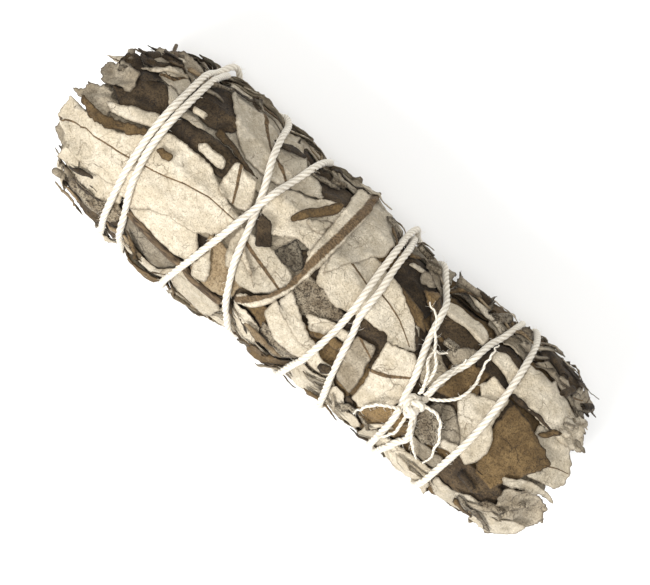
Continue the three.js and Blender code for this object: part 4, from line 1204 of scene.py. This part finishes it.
def strand(name, path, radius, plies, pitch, step=0.34, node=None, taper=0.0):
    """A twisted string: its plies bulge and turn round it once in each pitch."""
    path, at = even_steps(path, step)
    sides = 4 * plies
    angle = np.linspace(0, 2 * math.pi, sides, endpoint=False)
    lobe = abs(np.cos(plies * (angle[None, :] - 2 * math.pi * at[:, None] / pitch) / 2))
    uneven = 1 + 0.06 * waves(at[:, None] * 1.0, angle[None, :] * 0.3, 5, 90)
    section = radius * (0.6 + 0.4 * lobe ** 0.5) * uneven
    if taper:
        section = section * (1 - taper * np.linspace(0, 1, len(at)) ** 3)[:, None]
    points, faces = tube(path, section)
    points[:, 2] = np.maximum(points[:, 2], 0.02)
    # groove is 1 between the plies, where the cotton material paints shade.
    obj = make_object(name, points, faces, COTTON, values={"groove": (1 - lobe).ravel()})
    if node:
        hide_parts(node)


STACK = blur(np.maximum(top_of_stack, blur(top_of_stack, 0.8)), 0.6) - PRESS


def on_leaves(x, turn, rise):
    return sample(STACK, x, turn) + rise


rest = on_leaves(ROUTE[:, 0], ROUTE[:, 1], 0.0)
kernel = np.hanning(31)
rest = np.convolve(np.pad(rest, 15, mode="edge"), kernel / kernel.sum(), mode="valid")
string_radius = rest + 0.44 + 0.98 * np.maximum(ROUTE[:, 2], 0)
string_path = place(ROUTE[:, 0], ROUTE[:, 1], string_radius)
string_path[:, 2] = np.maximum(string_path[:, 2], STRING_RADIUS + 0.03)
strand("binding_string_look", string_path, STRING_RADIUS, 4, 4.6, node="binding_string")

knot_base = float(on_leaves(np.array([KNOT_X]), np.array([KNOT_TURN]), 0.0)[0])
t = np.linspace(0, 2 * math.pi, 160, endpoint=False)
knot_x = KNOT_X + 0.5 * (np.sin(t) + 2 * np.sin(2 * t)) * 0.85
knot_v = 0.5 * (np.cos(t) - 2 * np.cos(2 * t)) * 1.05
knot_r = knot_base + 1.5 - 0.62 * np.sin(3 * t)
knot_path = place(knot_x, KNOT_TURN + knot_v / ARC, knot_r)
knot_path = np.vstack([knot_path, knot_path[:1]])
strand("knot", knot_path, STRING_RADIUS, 4, 3.6)
wrap_t = np.linspace(-0.6, 2 * math.pi - 0.2, 60)
wrap_path = place(KNOT_X + 0.9 * np.cos(wrap_t), KNOT_TURN + (0.5 * np.cos(wrap_t) + 0.4 * wrap_t - 1) / ARC,
                  knot_base + 1.3 + 1.3 * np.sin(wrap_t))
strand("knot_wrap", wrap_path, STRING_RADIUS * 0.95, 4, 3.4)

ply_paths = []
for number, route in enumerate(PLY_ROUTES):
    line = smooth_curve(route, 14)
    wobble = np.linspace(0, 1, len(line)) * 0.5
    line[:, 0] += wobble * waves(np.arange(len(line)) * 0.2, 0 * wobble, 2.4, 60 + number) * 0.6
    line[:, 1] += wobble * waves(np.arange(len(line)) * 0.2, 0 * wobble, 2.2, 70 + number) * 2.5
    rise = line[:, 2] * 0.9
    path = place(line[:, 0], line[:, 1], on_leaves(line[:, 0], line[:, 1], 0.0) + rise)
    ply_paths.append(path)
    strand(f"ply_{number + 1}", path, 0.27, 2, 1.7, step=0.16, taper=0.55)


def fuzz(name, paths, count, reach, seed):
    """Loose cotton fibres that stand off the string."""
    rng = np.random.default_rng(seed)
    points, faces = [], []
    for _ in range(count):
        path = paths[rng.integers(len(paths))]
        i = rng.integers(3, len(path) - 3)
        along = path[i + 1] - path[i - 1]
        along /= np.linalg.norm(along)
        outward = path[i] * (0, 1, 1) - (0, 0, AXIS)
        outward /= np.linalg.norm(outward)
        side = np.cross(along, outward)
        lean = rng.uniform(-1.3, 1.3)
        direction = outward * math.cos(lean) + side * math.sin(lean)
        start = path[i] + direction * reach[0]
        length = rng.uniform(0.5, reach[1])
        bend = along * rng.uniform(-1, 1) + side * rng.uniform(-0.6, 0.6)
        s = np.linspace(0, 1, 6)[:, None]
        fibre = start + direction * length * s * (1 - 0.35 * s) + bend * length * 0.7 * s ** 2
        fibre[:, 2] = np.maximum(fibre[:, 2], 0.05)
        section = np.full((6, 3), 0.022) * np.linspace(1, 0.5, 6)[:, None]
        new_points, new_faces = tube(fibre, section)
        faces += [tuple(k + len(points) for k in face) for face in new_faces]
        points += new_points.tolist()
    obj = make_object(name, points, faces, COTTON, values={"groove": np.zeros(len(points))})


fuzz("string_fuzz", [string_path], 900, (0.45, 1.3), 11)
fuzz("ply_fuzz", ply_paths, 160, (0.2, 1.2), 12)


# ---------------------------------------------------------------- floor and lights

def floor():
    mesh = bpy.data.meshes.new("floor")
    size = 2.0
    corners = [(-size, -size, 0), (size, -size, 0), (size, size, 0), (-size, size, 0)]
    mesh.from_pydata(corners, [], [(0, 1, 2, 3)])
    mat, tree, shader = material("floor")
    n = Nodes(tree)
    shade = n.noise(n.millimetres(), 60.0, 2, 0.5)
    n.link(n.mix(shade, srgb(250, 250, 249), srgb(253, 253, 252)), shader.inputs["Base Color"])
    shader.inputs["Roughness"].default_value = 0.9
    shader.inputs["Specular IOR Level"].default_value = 0.1
    mesh.materials.append(mat)
    obj = bpy.data.objects.new("floor", mesh)
    bpy.context.scene.collection.objects.link(obj)


def soft_light(name, place_m, size, watts):
    data = bpy.data.lights.new(name, "AREA")
    data.shape = "DISK"
    data.size = size
    data.energy = watts
    obj = bpy.data.objects.new(name, data)
    obj.location = place_m
    obj.rotation_euler = (-Vector(place_m)).to_track_quat("-Z", "Y").to_euler()
    bpy.context.scene.collection.objects.link(obj)


floor()
soft_light("key", (-0.08, -0.42, 0.42), 0.26, 3.9)
soft_light("top", (0.05, 0.1, 0.7), 0.5, 3.0)
world = bpy.data.worlds.new("studio")
world.use_nodes = True
world.node_tree.nodes["Background"].inputs["Color"].default_value = (1, 1, 1, 1)
world.node_tree.nodes["Background"].inputs["Strength"].default_value = 0.55
bpy.context.scene.world = world
bpy.context.scene.view_settings.view_transform = "Standard"
